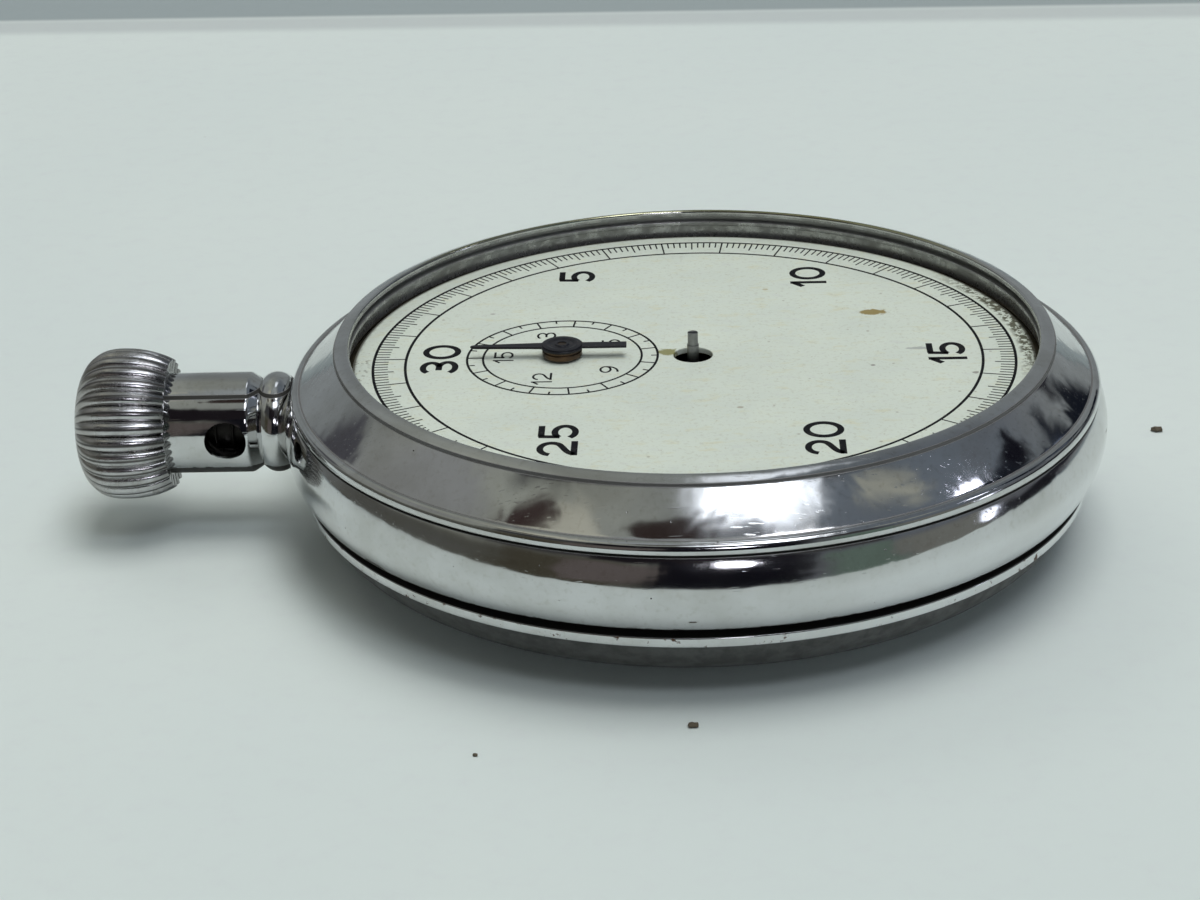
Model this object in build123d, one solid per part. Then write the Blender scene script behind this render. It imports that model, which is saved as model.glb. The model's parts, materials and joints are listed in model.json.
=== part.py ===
from build123d import *
import math
import os

# Pocket stopwatch with a push crown, in millimetres.
# +Z comes up out of the dial and the crown points along -X.
# The origin is on the case axis, at the flat middle of the back.

# ---- case, as (radius, height) ----
BACK_REST_R = 12.0
BACK_RIM_R = 26.62
BACK_RIM_LOW = 4.12
BACK_RIM_HIGH = 4.82
BACK_STEP_R = 26.2
BACK_WALL = 0.8
BAND_LOW = 5.5
BAND_LOW_R = 26.85
BAND_MAX_R = 27.68
BAND_MAX_Z = 7.8
BAND_HIGH = 10.45
BAND_HIGH_R = 27.05
NECK_R = 25.4
NECK_LOW = 4.2
NECK_HIGH = 12.0
CAVITY_R = 24.3
LEDGE_R = 22.8
LEDGE_LOW = 8.0
BEZEL_LOW = 10.57
BEZEL_BEAD_R = 27.12
BEZEL_BEAD_Z = 10.98
BEZEL_BEAD_HIGH = 11.34
BEZEL_SLOPE_END = (26.56, 11.3)
BEZEL_TOP = 14.2
BEZEL_OPENING_R = 23.08
BEZEL_STEP_R = 24.09
BEZEL_STEP_Z = 13.85
BEZEL_STEP_DEPTH = 0.14
BEZEL_WALL_R = 23.3
BEZEL_SLOPE_MIDDLE = (25.42, 12.33)
BEZEL_BEAD_ROUND = 0.06
SNAP_GAP = 0.02

# ---- pendant and crown, turned about a line along X at this height ----
AXIS_Z = 7.75
TUBE_OUT_X = -36.0
TUBE_R = 3.42
TUBE_BORE_R = 2.35
TUBE_CHAMFER_X = -30.1
TUBE_WAIST_X = -29.4
TUBE_WAIST_R = 2.93
BEAD_X = -28.38
BEAD_R = 3.44
BEAD_END_X = -27.36
TUBE_STEM_X = -27.25
TUBE_STEM_R = 2.45
TUBE_IN_X = -24.3
TUBE_SHOULDER_X = -27.6
BOW_HOLE_X = -31.6
BOW_HOLE_R = 1.24
SLEEVE_R = 1.8
SLEEVE_BORE_R = 0.9
SLEEVE_GAP = 0.06
SLEEVE_FLANGE_R = 2.25
SLEEVE_OUT_X = -37.85
SLEEVE_FLANGE_X = -37.35
SLEEVE_IN_X = -24.0
CROWN_TIP_X = -42.05
CROWN_WIDE_X = -39.2
CROWN_R = 5.16
CROWN_BACK_X = -35.55
CROWN_BACK_R = 4.36
CROWN_HOLLOW_R = 3.56
CROWN_HOLLOW_X = -37.9
CROWN_FLUTES = 28
FLUTE_R = 0.4
STEM_R = 0.8
STEM_OUT_X = -40.2
STEM_SQUARE_X = -21.4
STEM_IN_X = -14.6
STEM_SQUARE = 1.1

# ---- movement levels ----
PLATE_R = 23.4
PLATE_LOW = 8.8
PLATE_HIGH = 10.1
PLATE_RIM_HIGH = 11.75
PLATE_RIM_R = 21.8
BRIDGE_R = 21.0
BRIDGE_LOW = 4.9
BRIDGE_HIGH = 5.8
DIAL_TOP = 12.15
DIAL_R = 22.95
DIAL_HOLE_R = 1.32
HUB_LOW = 12.3
HUB_R = 1.35
HAND_LOW = 12.88
HAND_HIGH = 13.04
HAND_REACH = 6.2
HAND_TAIL = 4.35
HAND_BOSS_R = 1.45
SWEEP_TOP = 13.76
WINDING_LOW = 4.0
WINDING_HIGH = 4.8
LEVER_LOW = 2.8
LEVER_HIGH = 3.4
COCK_LOW = 1.6
COCK_HIGH = 2.4
PIVOT_R = 0.2
PIVOT_HOLE_R = 0.24
PIVOT_LOW = 5.1
PIVOT_HIGH = 9.6
ARBOR_LOW = 5.95
ARBOR_HIGH = 8.65
REAR_PIVOT_LOW = 2.0
REAR_PIVOT_HIGH = 2.66
REAR_COCK_LOW = 1.8
REAR_COCK_HIGH = 2.6
BARREL_LOW = 6.0
BARREL_HIGH = 7.95
BARREL_DRUM_R = 6.9
BARREL_INNER_R = 6.4
BARREL_HUB_R = 1.0
SECOND_WHEEL_LOW = 8.25
THIRD_WHEEL_LOW = 7.15
SWEEP_WHEEL_LOW = 6.3
WHEEL_THICK = 0.22
COUNTER_LOW = 10.3
COUNTER_MIDDLE = 10.5
ESCAPE_LOW = 7.9
OPERATE_LOW = 4.1
OPERATE_HIGH = 4.7
SPRING_HIGH = 4.6
BRAKE_LOW = 3.6
BRAKE_HIGH = 4.0
COLUMN_LOW = 4.05

# ---- where the arbors stand, as (x, y) ----
CENTRE = (0, 0)
MINUTE = (-8.82, 0)
BARREL = (-8.5, 11.3)

# ---- gears: teeth and module ----
BARREL_TEETH, SECOND_PINION, BARREL_MODULE = 75, 10, 0.20
SECOND_TEETH, THIRD_PINION, SECOND_MODULE = 64, 8, 0.17
THIRD_TEETH, SWEEP_PINION, THIRD_MODULE = 60, 8, 0.18
SWEEP_TEETH, ESCAPE_PINION, SWEEP_MODULE = 80, 8, 0.13
COUNTER_PINION, COUNTER_TEETH, COUNTER_MODULE = 8, 48, 0.14
COUNTER_UPPER, MINUTE_TEETH, MINUTE_MODULE = 10, 50, 0.165
CROWN_WHEEL_TEETH, RATCHET_TEETH, WINDING_MODULE = 31, 52, 0.26
WINDING_PINION_TEETH, WINDING_PINION_R = 18, 2.85

UPRIGHT = (Align.CENTER, Align.CENTER, Align.MIN)


def polar(origin, distance, degrees):
    """Point at a distance and bearing from another point."""
    turn = math.radians(degrees)
    return (origin[0] + distance * math.cos(turn), origin[1] + distance * math.sin(turn))


def bearing(start, end):
    """Direction from one point to another, in degrees."""
    return math.degrees(math.atan2(end[1] - start[1], end[0] - start[0]))


def crossing(first, first_reach, second, second_reach, side):
    """Point at given distances from two others, on the left (1) or right (-1) of the line."""
    span = math.dist(first, second)
    along = (first_reach**2 - second_reach**2 + span**2) / (2 * span)
    across = math.sqrt(first_reach**2 - along**2)
    foot = polar(first, along, bearing(first, second))
    return polar(foot, side * across, bearing(first, second) + 90)


def spacing(teeth, other_teeth, module):
    """Distance between the arbors of two meshed gears."""
    return (teeth + other_teeth) * module / 2


THIRD = polar(CENTRE, spacing(THIRD_TEETH, SWEEP_PINION, THIRD_MODULE), 50)
SECOND = crossing(
    THIRD, spacing(SECOND_TEETH, THIRD_PINION, SECOND_MODULE),
    BARREL, spacing(BARREL_TEETH, SECOND_PINION, BARREL_MODULE), -1,
)
ESCAPE = polar(CENTRE, spacing(SWEEP_TEETH, ESCAPE_PINION, SWEEP_MODULE), -35)
PALLET = polar(ESCAPE, 3.9, -30)
BALANCE = polar(PALLET, 4.6, -40)
COUNTER = crossing(
    CENTRE, spacing(COUNTER_TEETH, COUNTER_PINION, COUNTER_MODULE),
    MINUTE, spacing(MINUTE_TEETH, COUNTER_UPPER, MINUTE_MODULE), -1,
)
CROWN_WHEEL = polar(BARREL, spacing(CROWN_WHEEL_TEETH, RATCHET_TEETH, WINDING_MODULE), -122.1)
CLICK = polar(BARREL, 8.6, 68)
COLUMN_WHEEL = (-10.0, -11.5)
OPERATING_PIVOT = (-18.2, -8.5)
HAMMER_PIVOT = (-4.0, -15.5)
BRAKE_PIVOT = (0.2, -14.0)
COCK_FOOT = polar(BALANCE, 8.7, 58)
REAR_COCK_FOOT = (7.4, 4.6)
PILLARS = [polar(CENTRE, 19.5, turn) for turn in (160, 60, -15, -110)]
CASE_SCREWS = [polar(CENTRE, 22.1, turn) for turn in (115, 0, -115)]
DIAL_FEET = [polar(CENTRE, 20.4, turn) for turn in (35, -145)]


# ---- shapes used again and again ----

def disc(radius, low, high, at=CENTRE):
    """Upright round solid between two heights."""
    return Pos(at[0], at[1], low) * Cylinder(radius, high - low, align=UPRIGHT)


def ring(outer, inner, low, high, at=CENTRE):
    """Upright ring between two heights."""
    return disc(outer, low, high, at) - disc(inner, low - 0.1, high + 0.1, at)


def stack(steps, at=CENTRE):
    """Stepped shaft from (radius, low, high) steps that touch end to end."""
    return Part() + [disc(radius, low, high, at) for radius, low, high in steps]


def block(x, y, z):
    """Box from the low and high limits on each axis."""
    size = [limits[1] - limits[0] for limits in (x, y, z)]
    return Pos(x[0], y[0], z[0]) * Box(*size, align=(Align.MIN, Align.MIN, Align.MIN))


def bar(start, end, width, low, high):
    """Flat bar with round ends between two points."""
    outline = SlotCenterToCenter(math.dist(start, end), width)
    middle = ((start[0] + end[0]) / 2, (start[1] + end[1]) / 2)
    return Pos(*middle, low) * Rot(0, 0, bearing(start, end)) * extrude(outline, high - low, dir=(0, 0, 1))


def along_x(radius, start, end, side=0):
    """Round solid along X on the crown's axis, or beside it."""
    place = Pos(start, side, AXIS_Z) * Rot(0, 90, 0)
    return place * Cylinder(radius, end - start, align=UPRIGHT)


def closed(edges):
    """Face inside a chain of lines and curves, closed by a straight line."""
    chain = [edge for curve in edges for edge in curve.edges()]
    return make_face(Wire([*chain, Line(edges[-1] @ 1, edges[0] @ 0).edge()]))


def turned(*edges):
    """Solid turned about Z from a profile drawn as (radius, height)."""
    return revolve(Plane.XZ * closed(edges), Axis.Z)


def turned_x(*edges):
    """Solid turned about the crown's axis from a profile drawn as (x, radius)."""
    return Pos(0, 0, AXIS_Z) * revolve(Plane.XZ * closed(edges), Axis.X)


def group(solids):
    """Separate solids kept in one node."""
    return Compound([solid for shape in solids for solid in shape.solids()])


def meshed(phase, teeth, at, other_teeth, other):
    """Turn of the second gear, in degrees, that puts its gaps over the first gear's teeth."""
    line = bearing(at, other)
    share = ((line - phase) * teeth / 360) % 1
    return line + 180 - (0.5 - share) * 360 / other_teeth


def gear(teeth, module, low, high, at=CENTRE, phase=0, bore=0, pinion=False):
    """Spur gear with tapered teeth, one of them pointing along the phase angle."""
    pitch_r = teeth * module / 2
    tip_r = pitch_r + (0.75 if pinion else 1.0) * module
    root_r = pitch_r - (1.4 if pinion else 1.3) * module
    half = (0.36 if pinion else 0.42) * 180 / teeth
    rising = [(-1.15, root_r), (-1, pitch_r), (-0.4, tip_r)]
    falling = [(-turn, radius) for turn, radius in reversed(rising)]
    corners = []
    for tooth in range(teeth):
        middle = phase + tooth * 360 / teeth
        corners += [polar(CENTRE, radius, middle + turn * half) for turn, radius in rising + falling]
    wheel = Pos(*at, low) * extrude(make_face(Polyline(*corners, close=True)), high - low, dir=(0, 0, 1))
    return wheel - disc(bore, low - 1, high + 1, at) if bore else wheel


def crossed(wheel, hub_r, rim_r, low, high, at, arms, width):
    """Wheel with its web cut away to leave a hub, a rim and straight arms."""
    web = ring(rim_r, hub_r, low - 0.1, high + 0.1, at)
    for arm in range(arms):
        web -= bar(at, polar(at, rim_r + 1, arm * 360 / arms + 20), width, low - 0.2, high + 0.2)
    return wheel - web


def spiral(inner_r, pitch, half_turns, thick, low, high, at):
    """Flat spiral strip made of half circles about two centres."""
    strip = Part()
    for step in range(half_turns):
        radius = inner_r + step * pitch / 2
        centre = at if step % 2 == 0 else (at[0] + pitch / 2, at[1])
        keep = block((-40, 40), (centre[1], 60) if step % 2 == 0 else (-60, centre[1]), (low, high))
        strip += ring(radius + thick / 2, radius - thick / 2, low, high, centre) & keep
    return strip


def screw(at, head_r, head_low, head_high, shank_r, shank_end):
    """Slotted cheese-head screw; its shank starts at the head face that looks at shank_end."""
    up = shank_end > head_high
    shank = (head_high, shank_end) if up else (shank_end, head_low)
    body = disc(head_r, head_low, head_high, at) + disc(shank_r, *shank, at)
    slot_z = (head_low - 0.1, head_low + 0.25) if up else (head_high - 0.25, head_high + 0.1)
    slot = block((at[0] - 2, at[0] + 2), (at[1] - 0.12, at[1] + 0.12), slot_z)
    return body - slot


# ---- case ----

def case_band():
    outer = ThreePointArc((BAND_LOW_R, BAND_LOW), (BAND_MAX_R, BAND_MAX_Z), (BAND_HIGH_R, BAND_HIGH))
    inside = Polyline(
        (BAND_HIGH_R, BAND_HIGH), (NECK_R, BAND_HIGH), (NECK_R, NECK_HIGH), (PLATE_R + 0.05, NECK_HIGH),
        (PLATE_R + 0.05, PLATE_LOW), (LEDGE_R, PLATE_LOW), (LEDGE_R, LEDGE_LOW), (CAVITY_R, LEDGE_LOW),
        (CAVITY_R, NECK_LOW), (NECK_R, NECK_LOW), (NECK_R, BAND_LOW),
    )
    band = turned(outer, inside)
    tube_hole = turned_x(*pendant_edges())
    sleeve_hole = along_x(SLEEVE_R + SLEEVE_GAP, -26, -20)
    lever_notch = block((-25, -20), (-4.0, 2.6), (LEDGE_LOW - 0.1, PLATE_LOW))
    return band - tube_hole - sleeve_hole - lever_notch


def bezel():
    """Sloping ring with a step under its lip and a bead along its lower edge."""
    slope_start = (BEZEL_STEP_R, BEZEL_STEP_Z - BEZEL_STEP_DEPTH)
    bead_top = (BEZEL_SLOPE_END[0] + BEZEL_BEAD_ROUND, BEZEL_BEAD_HIGH)
    bead_foot = (BEZEL_BEAD_R - BEZEL_BEAD_ROUND, BEZEL_LOW)
    outer = [
        Line((BEZEL_OPENING_R, BEZEL_TOP), (BEZEL_STEP_R, BEZEL_STEP_Z)),
        Line((BEZEL_STEP_R, BEZEL_STEP_Z), slope_start),
        ThreePointArc(slope_start, BEZEL_SLOPE_MIDDLE, BEZEL_SLOPE_END),
        Line(BEZEL_SLOPE_END, bead_top),
        ThreePointArc(bead_top, (BEZEL_BEAD_R, BEZEL_BEAD_Z), bead_foot),
    ]
    inside = Polyline(
        bead_foot, (NECK_R + SNAP_GAP, BEZEL_LOW), (NECK_R + SNAP_GAP, NECK_HIGH),
        (BEZEL_WALL_R, NECK_HIGH), (BEZEL_WALL_R, 12.9), (BEZEL_OPENING_R, 13.0), (BEZEL_OPENING_R, 13.25),
        (BEZEL_WALL_R + 0.2, 13.3), (BEZEL_WALL_R + 0.2, 13.6), (BEZEL_OPENING_R, 13.7),
    )
    return turned(*outer, inside)


def back_cover():
    outer = [
        Line((NECK_R + SNAP_GAP, BACK_RIM_HIGH), (BACK_RIM_R, BACK_RIM_HIGH)),
        Line((BACK_RIM_R, BACK_RIM_HIGH), (BACK_RIM_R - 0.08, BACK_RIM_LOW)),
        Line((BACK_RIM_R - 0.08, BACK_RIM_LOW), (BACK_STEP_R, BACK_RIM_LOW - 0.06)),
        ThreePointArc((BACK_STEP_R, BACK_RIM_LOW - 0.06), (24.8, 1.95), (21.0, 0.75)),
        ThreePointArc((21.0, 0.75), (16.6, 0.2), (BACK_REST_R, 0)),
        Line((BACK_REST_R, 0), (0, 0)),
        Line((0, 0), (0, BACK_WALL)),
        Line((0, BACK_WALL), (BACK_REST_R, BACK_WALL)),
        ThreePointArc((BACK_REST_R, BACK_WALL), (16.6, BACK_WALL + 0.2), (20.8, BACK_WALL + 0.75)),
        ThreePointArc((20.8, BACK_WALL + 0.75), (24.1, 2.6), (NECK_R, NECK_LOW - 0.02)),
        Line((NECK_R, NECK_LOW - 0.02), (NECK_R + SNAP_GAP, NECK_LOW - 0.02)),
    ]
    return turned(*outer)


def pendant_edges():
    """Outside of the pendant tube from its waist to its inner end, as (x, radius)."""
    return [
        Line((TUBE_WAIST_X, 0), (TUBE_WAIST_X, TUBE_WAIST_R)),
        ThreePointArc((TUBE_WAIST_X, TUBE_WAIST_R), (BEAD_X, BEAD_R), (BEAD_END_X, TUBE_WAIST_R)),
        Line((BEAD_END_X, TUBE_WAIST_R), (TUBE_STEM_X, TUBE_STEM_R)),
        Line((TUBE_STEM_X, TUBE_STEM_R), (TUBE_IN_X, TUBE_STEM_R)),
        Line((TUBE_IN_X, TUBE_STEM_R), (TUBE_IN_X, 0)),
    ]


def pendant_tube():
    outer = Polyline(
        (TUBE_WAIST_X, 0), (TUBE_OUT_X, 0), (TUBE_OUT_X, TUBE_R), (TUBE_CHAMFER_X, TUBE_R),
        (TUBE_WAIST_X, TUBE_WAIST_R),
    )
    tube = turned_x(outer) + turned_x(*pendant_edges())
    tube -= along_x(TUBE_BORE_R, TUBE_OUT_X - 1, TUBE_SHOULDER_X)
    tube -= along_x(SLEEVE_R + SLEEVE_GAP, TUBE_SHOULDER_X - 1, TUBE_IN_X + 1)
    bow_hole = Pos(BOW_HOLE_X, 0, AXIS_Z) * Rot(90, 0, 0) * Cylinder(BOW_HOLE_R, 3 * TUBE_R)
    return tube - bow_hole


def crown_sleeve():
    sleeve = along_x(SLEEVE_R, SLEEVE_OUT_X, SLEEVE_IN_X)
    sleeve += along_x(SLEEVE_FLANGE_R, SLEEVE_OUT_X, SLEEVE_FLANGE_X)
    return sleeve - along_x(SLEEVE_BORE_R, SLEEVE_OUT_X - 1, SLEEVE_IN_X + 1)


def crown_spring():
    """Coil spring around the sleeve, drawn as spaced rings."""
    turns = 9
    wire_r = 0.1
    coil_r = 1.98
    start = SLEEVE_FLANGE_X + 0.2
    pitch = (TUBE_SHOULDER_X - 0.2 - start) / (turns - 1)
    torus = Rot(0, 90, 0) * Torus(coil_r, wire_r)
    return group([Pos(start + turn * pitch, 0, AXIS_Z) * torus for turn in range(turns)])


def crown():
    """Hollow push crown with rounded flutes that run from its back edge over the dome."""
    dome = [
        Line((CROWN_TIP_X, 0), (CROWN_TIP_X, 1.2)),
        Spline(
            (CROWN_TIP_X, 1.2), (-41.6, 3.15), (-40.68, 4.42), (CROWN_WIDE_X, CROWN_R), (-37.2, 4.93),
            (CROWN_BACK_X, CROWN_BACK_R), tangents=((0, 1), (1, -0.45)),
        ),
        Polyline(
            (CROWN_BACK_X, CROWN_BACK_R), (CROWN_BACK_X, CROWN_HOLLOW_R), (CROWN_HOLLOW_X, CROWN_HOLLOW_R),
            (CROWN_HOLLOW_X, STEM_R + 0.01), (STEM_OUT_X, STEM_R + 0.01), (STEM_OUT_X, 0),
        ),
    ]
    body = turned_x(*dome)
    back, front = (CROWN_BACK_X + 0.4, CROWN_BACK_R + 0.02), (CROWN_TIP_X - 0.1, 3.3)
    path = Plane.XZ * ThreePointArc(back, (CROWN_WIDE_X + 0.3, CROWN_R + 0.08), front)
    groove = sweep(Plane(path @ 0, z_dir=path % 0) * Circle(FLUTE_R), path)
    for flute in range(CROWN_FLUTES):
        body -= Pos(0, 0, AXIS_Z) * Rot(flute * 360 / CROWN_FLUTES, 0, 0) * groove
    return body


def stem():
    shaft = along_x(STEM_R, STEM_OUT_X, STEM_SQUARE_X)
    square = Pos((STEM_SQUARE_X + STEM_IN_X) / 2, 0, AXIS_Z) * Box(
        STEM_IN_X - STEM_SQUARE_X, STEM_SQUARE, STEM_SQUARE
    )
    return shaft + square


# ---- plates ----

def stem_window(low, high):
    return block((-19.9, -16.3), (-3.15, 3.15), (low, high))


def bearing_holes(low, high):
    """Pivot holes of the going train and the balance."""
    return [disc(PIVOT_HOLE_R, low, high, at) for at in (SECOND, THIRD, ESCAPE, PALLET)]


def main_plate():
    plate = disc(PLATE_R, PLATE_LOW, PLATE_HIGH) + ring(PLATE_R, PLATE_RIM_R, PLATE_HIGH, PLATE_RIM_HIGH)
    for start, end in ((-20.7, -20.0), (-16.1, -15.1)):
        plate += block((start, end), (-1.2, 1.2), (6.2, PLATE_LOW))
    plate += disc(0.45, PLATE_HIGH, 11.3, COUNTER)
    plate -= stem_window(PLATE_LOW - 0.1, PLATE_HIGH + 0.1)
    plate -= along_x(STEM_R + 0.05, -23, -14.9) + along_x(SLEEVE_R + SLEEVE_GAP, -24, -22.3)
    plate -= bearing_holes(8.7, 9.7) + [disc(PIVOT_HOLE_R, 8.7, 9.7, BALANCE)]
    plate -= [disc(0.75, 8, 11, CENTRE), disc(0.55, 8, 11, MINUTE), disc(0.66, 8.7, 9.7, BARREL)]
    plate -= [disc(0.45, 8.7, 9.9, at) for at in PILLARS]
    plate -= [disc(0.4, 8.7, 10.0, at) for at in CASE_SCREWS]
    return plate - [disc(0.42, 9.0, 10.2, at) for at in DIAL_FEET]


def rear_plate():
    plate = disc(BRIDGE_R, BRIDGE_LOW, BRIDGE_HIGH)
    plate -= stem_window(BRIDGE_LOW - 0.1, BRIDGE_HIGH + 0.1)
    plate -= block((-22, -20.3), (-4.2, -0.3), (4, 6))
    plate -= bearing_holes(5.0, 5.9) + [disc(1.3, 4, 6, BALANCE)]
    plate -= [disc(0.6, 4, 6, CENTRE), disc(0.55, 4, 6, MINUTE), disc(1.06, 4, 6, BARREL)]
    plate -= [disc(0.5, 4, 6, at) for at in PILLARS + [CROWN_WHEEL, CLICK]]
    studs = (COLUMN_WHEEL, OPERATING_PIVOT, HAMMER_PIVOT, BRAKE_PIVOT, COCK_FOOT, REAR_COCK_FOOT)
    return plate - [disc(0.5, 4, 6, at) for at in studs]


def pillars():
    return group([ring(1.25, 0.4, BRIDGE_HIGH, PLATE_LOW, at) for at in PILLARS])


def pillar_screws():
    return group([screw(at, 1.1, 4.2, BRIDGE_LOW, 0.39, 9.5) for at in PILLARS])


def case_screws():
    return group([screw(at, 1.25, 7.2, LEDGE_LOW, 0.39, 9.8) for at in CASE_SCREWS])


def plate_jewels():
    """Ruby bearings pressed on the outer faces of the two plates."""
    low = [ring(0.75, 0.26, BRIDGE_LOW - 0.15, BRIDGE_LOW, at) for at in (THIRD, ESCAPE, PALLET)]
    high = [ring(0.75, 0.26, PLATE_HIGH, PLATE_HIGH + 0.15, at) for at in (SECOND, ESCAPE, PALLET)]
    return group(low + high)


# ---- dial side ----

def dial():
    plate = disc(DIAL_R, PLATE_RIM_HIGH, DIAL_TOP) - disc(DIAL_HOLE_R, 11, 13) - disc(0.6, 11, 13, MINUTE)
    return plate + [disc(0.38, 9.1, PLATE_RIM_HIGH, at) for at in DIAL_FEET]


def minute_arbor():
    steps = [
        (PIVOT_R, REAR_PIVOT_LOW, REAR_PIVOT_HIGH), (0.4, REAR_PIVOT_HIGH, HUB_LOW),
        (0.3, HUB_LOW, HAND_HIGH + 0.06),
    ]
    return stack(steps, MINUTE)


def minute_hub():
    """Collet that holds the minute hand on its arbor."""
    return ring(HUB_R, 0.3, HUB_LOW, HAND_LOW, MINUTE)


def minute_hand():
    """Tapered pointer, round boss and straight tail."""
    x, y = MINUTE
    root, end, tail = 0.42, 0.2, 0.4
    tip, shoulder = x - HAND_REACH, x - HAND_REACH + 0.3
    blade = Polyline(
        (x, y - root), (shoulder, y - end), (tip, y), (shoulder, y + end), (x, y + root), close=True
    )
    hand = Pos(0, 0, HAND_LOW) * extrude(make_face(blade), HAND_HIGH - HAND_LOW, dir=(0, 0, 1))
    hand += disc(HAND_BOSS_R, HAND_LOW, HAND_HIGH, MINUTE)
    hand += block((x, x + HAND_TAIL), (y - tail, y + tail), (HAND_LOW, HAND_HIGH))
    return hand - disc(0.3, HAND_LOW - 1, HAND_HIGH + 1, MINUTE)


def minute_wheel():
    phase = meshed(0, COUNTER_UPPER, COUNTER, MINUTE_TEETH, MINUTE)
    wheel = gear(MINUTE_TEETH, MINUTE_MODULE, 10.8, 11.05, MINUTE, phase, 0.4)
    wheel = crossed(wheel, 1.1, 3.4, 10.8, 11.05, MINUTE, 4, 0.6)
    return wheel + ring(0.9, 0.4, 10.5, 10.8, MINUTE)


def counter_wheel():
    phase = meshed(0, COUNTER_PINION, CENTRE, COUNTER_TEETH, COUNTER)
    wheel = gear(COUNTER_TEETH, COUNTER_MODULE, COUNTER_LOW, COUNTER_MIDDLE, COUNTER, phase, 0.48)
    return wheel + gear(COUNTER_UPPER, MINUTE_MODULE, COUNTER_MIDDLE, 11.2, COUNTER, 0, 0.48, pinion=True)


# ---- going train ----

def train_arbor(radius, at):
    """Arbor between the two plates, with a pivot at each end."""
    steps = [
        (PIVOT_R, PIVOT_LOW, ARBOR_LOW), (radius, ARBOR_LOW, ARBOR_HIGH), (PIVOT_R, ARBOR_HIGH, PIVOT_HIGH),
    ]
    return stack(steps, at)


def barrel_drum():
    """Open drum that holds the mainspring, toothed round its foot."""
    drum = gear(BARREL_TEETH, BARREL_MODULE, BARREL_LOW, BARREL_LOW + 0.5, BARREL)
    drum += disc(BARREL_DRUM_R, BARREL_LOW + 0.5, BARREL_HIGH, BARREL)
    hub_hole = disc(BARREL_HUB_R + 0.06, BARREL_LOW - 0.1, BARREL_LOW + 0.4, BARREL)
    return drum - disc(BARREL_INNER_R, BARREL_LOW + 0.3, BARREL_HIGH + 0.15, BARREL) - hub_hole


def barrel_cover():
    return ring(BARREL_INNER_R - 0.01, BARREL_HUB_R + 0.06, BARREL_HIGH - 0.25, BARREL_HIGH, BARREL)


def barrel_arbor():
    """Ratchet end, rear bearing, spring hub, front bearing and front pivot, from the back up."""
    steps = [
        (0.8, 3.95, BRIDGE_LOW), (BARREL_HUB_R, BRIDGE_LOW, 6.35), (1.7, 6.35, 7.65),
        (BARREL_HUB_R, 7.65, 8.7), (0.6, 8.7, PIVOT_HIGH),
    ]
    return stack(steps, BARREL)


def mainspring():
    return spiral(1.9, 0.52, 16, 0.2, 6.4, 7.6, BARREL)


def second_wheel():
    low, high = SECOND_WHEEL_LOW, SECOND_WHEEL_LOW + WHEEL_THICK
    wheel = gear(SECOND_TEETH, SECOND_MODULE, low, high, SECOND, bore=0.35)
    return crossed(wheel, 1.1, 4.6, low, high, SECOND, 5, 0.7)


def second_pinion():
    phase = meshed(0, BARREL_TEETH, BARREL, SECOND_PINION, SECOND)
    pinion = gear(SECOND_PINION, BARREL_MODULE, ARBOR_LOW, 6.7, SECOND, phase, pinion=True)
    return train_arbor(0.35, SECOND) + pinion


def third_wheel():
    low, high = THIRD_WHEEL_LOW, THIRD_WHEEL_LOW + WHEEL_THICK
    wheel = gear(THIRD_TEETH, THIRD_MODULE, low, high, THIRD, bore=0.3)
    return crossed(wheel, 1.0, 4.55, low, high, THIRD, 5, 0.6)


def third_pinion():
    phase = meshed(0, SECOND_TEETH, SECOND, THIRD_PINION, THIRD)
    pinion = gear(THIRD_PINION, SECOND_MODULE, 8.05, ARBOR_HIGH, THIRD, phase, pinion=True)
    return train_arbor(0.3, THIRD) + pinion


def sweep_wheel():
    low, high = SWEEP_WHEEL_LOW, SWEEP_WHEEL_LOW + WHEEL_THICK
    wheel = gear(SWEEP_TEETH, SWEEP_MODULE, low, high, bore=0.4)
    return crossed(wheel, 1.1, 4.4, low, high, CENTRE, 5, 0.6)


def sweep_arbor():
    phase = meshed(0, THIRD_TEETH, THIRD, SWEEP_PINION, CENTRE)
    seat = 12.9
    shaft = stack([
        (PIVOT_R, REAR_PIVOT_LOW, REAR_PIVOT_HIGH), (0.4, REAR_PIVOT_HIGH, seat), (0.35, seat, SWEEP_TOP),
    ])
    shaft += gear(SWEEP_PINION, THIRD_MODULE, 6.95, 7.6, CENTRE, phase, pinion=True)
    shaft += gear(COUNTER_PINION, COUNTER_MODULE, 10.15, 10.6, pinion=True)
    return shaft - block((-0.5, 0.5), (-0.07, 0.07), (SWEEP_TOP - 0.2, SWEEP_TOP + 1))


def escape_wheel():
    """Fifteen pointed teeth on a light rim."""
    tip_r, root_r, teeth = 2.9, 2.25, 15
    tooth_points = ((root_r, 0), (root_r, 13), (tip_r, 19))
    starts = [tooth * 360 / teeth for tooth in range(teeth)]
    corners = [polar(CENTRE, radius, start + turn) for start in starts for radius, turn in tooth_points]
    face = make_face(Polyline(*corners, close=True))
    wheel = Pos(*ESCAPE, ESCAPE_LOW) * extrude(face, WHEEL_THICK, dir=(0, 0, 1))
    wheel = crossed(wheel, 0.8, 1.85, ESCAPE_LOW, ESCAPE_LOW + WHEEL_THICK, ESCAPE, 4, 0.35)
    return wheel - disc(0.3, 7, 9, ESCAPE)


def escape_pinion():
    phase = meshed(0, SWEEP_TEETH, CENTRE, ESCAPE_PINION, ESCAPE)
    pinion = gear(ESCAPE_PINION, SWEEP_MODULE, 6.1, 6.75, ESCAPE, phase, pinion=True)
    return train_arbor(0.3, ESCAPE) + pinion


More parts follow.
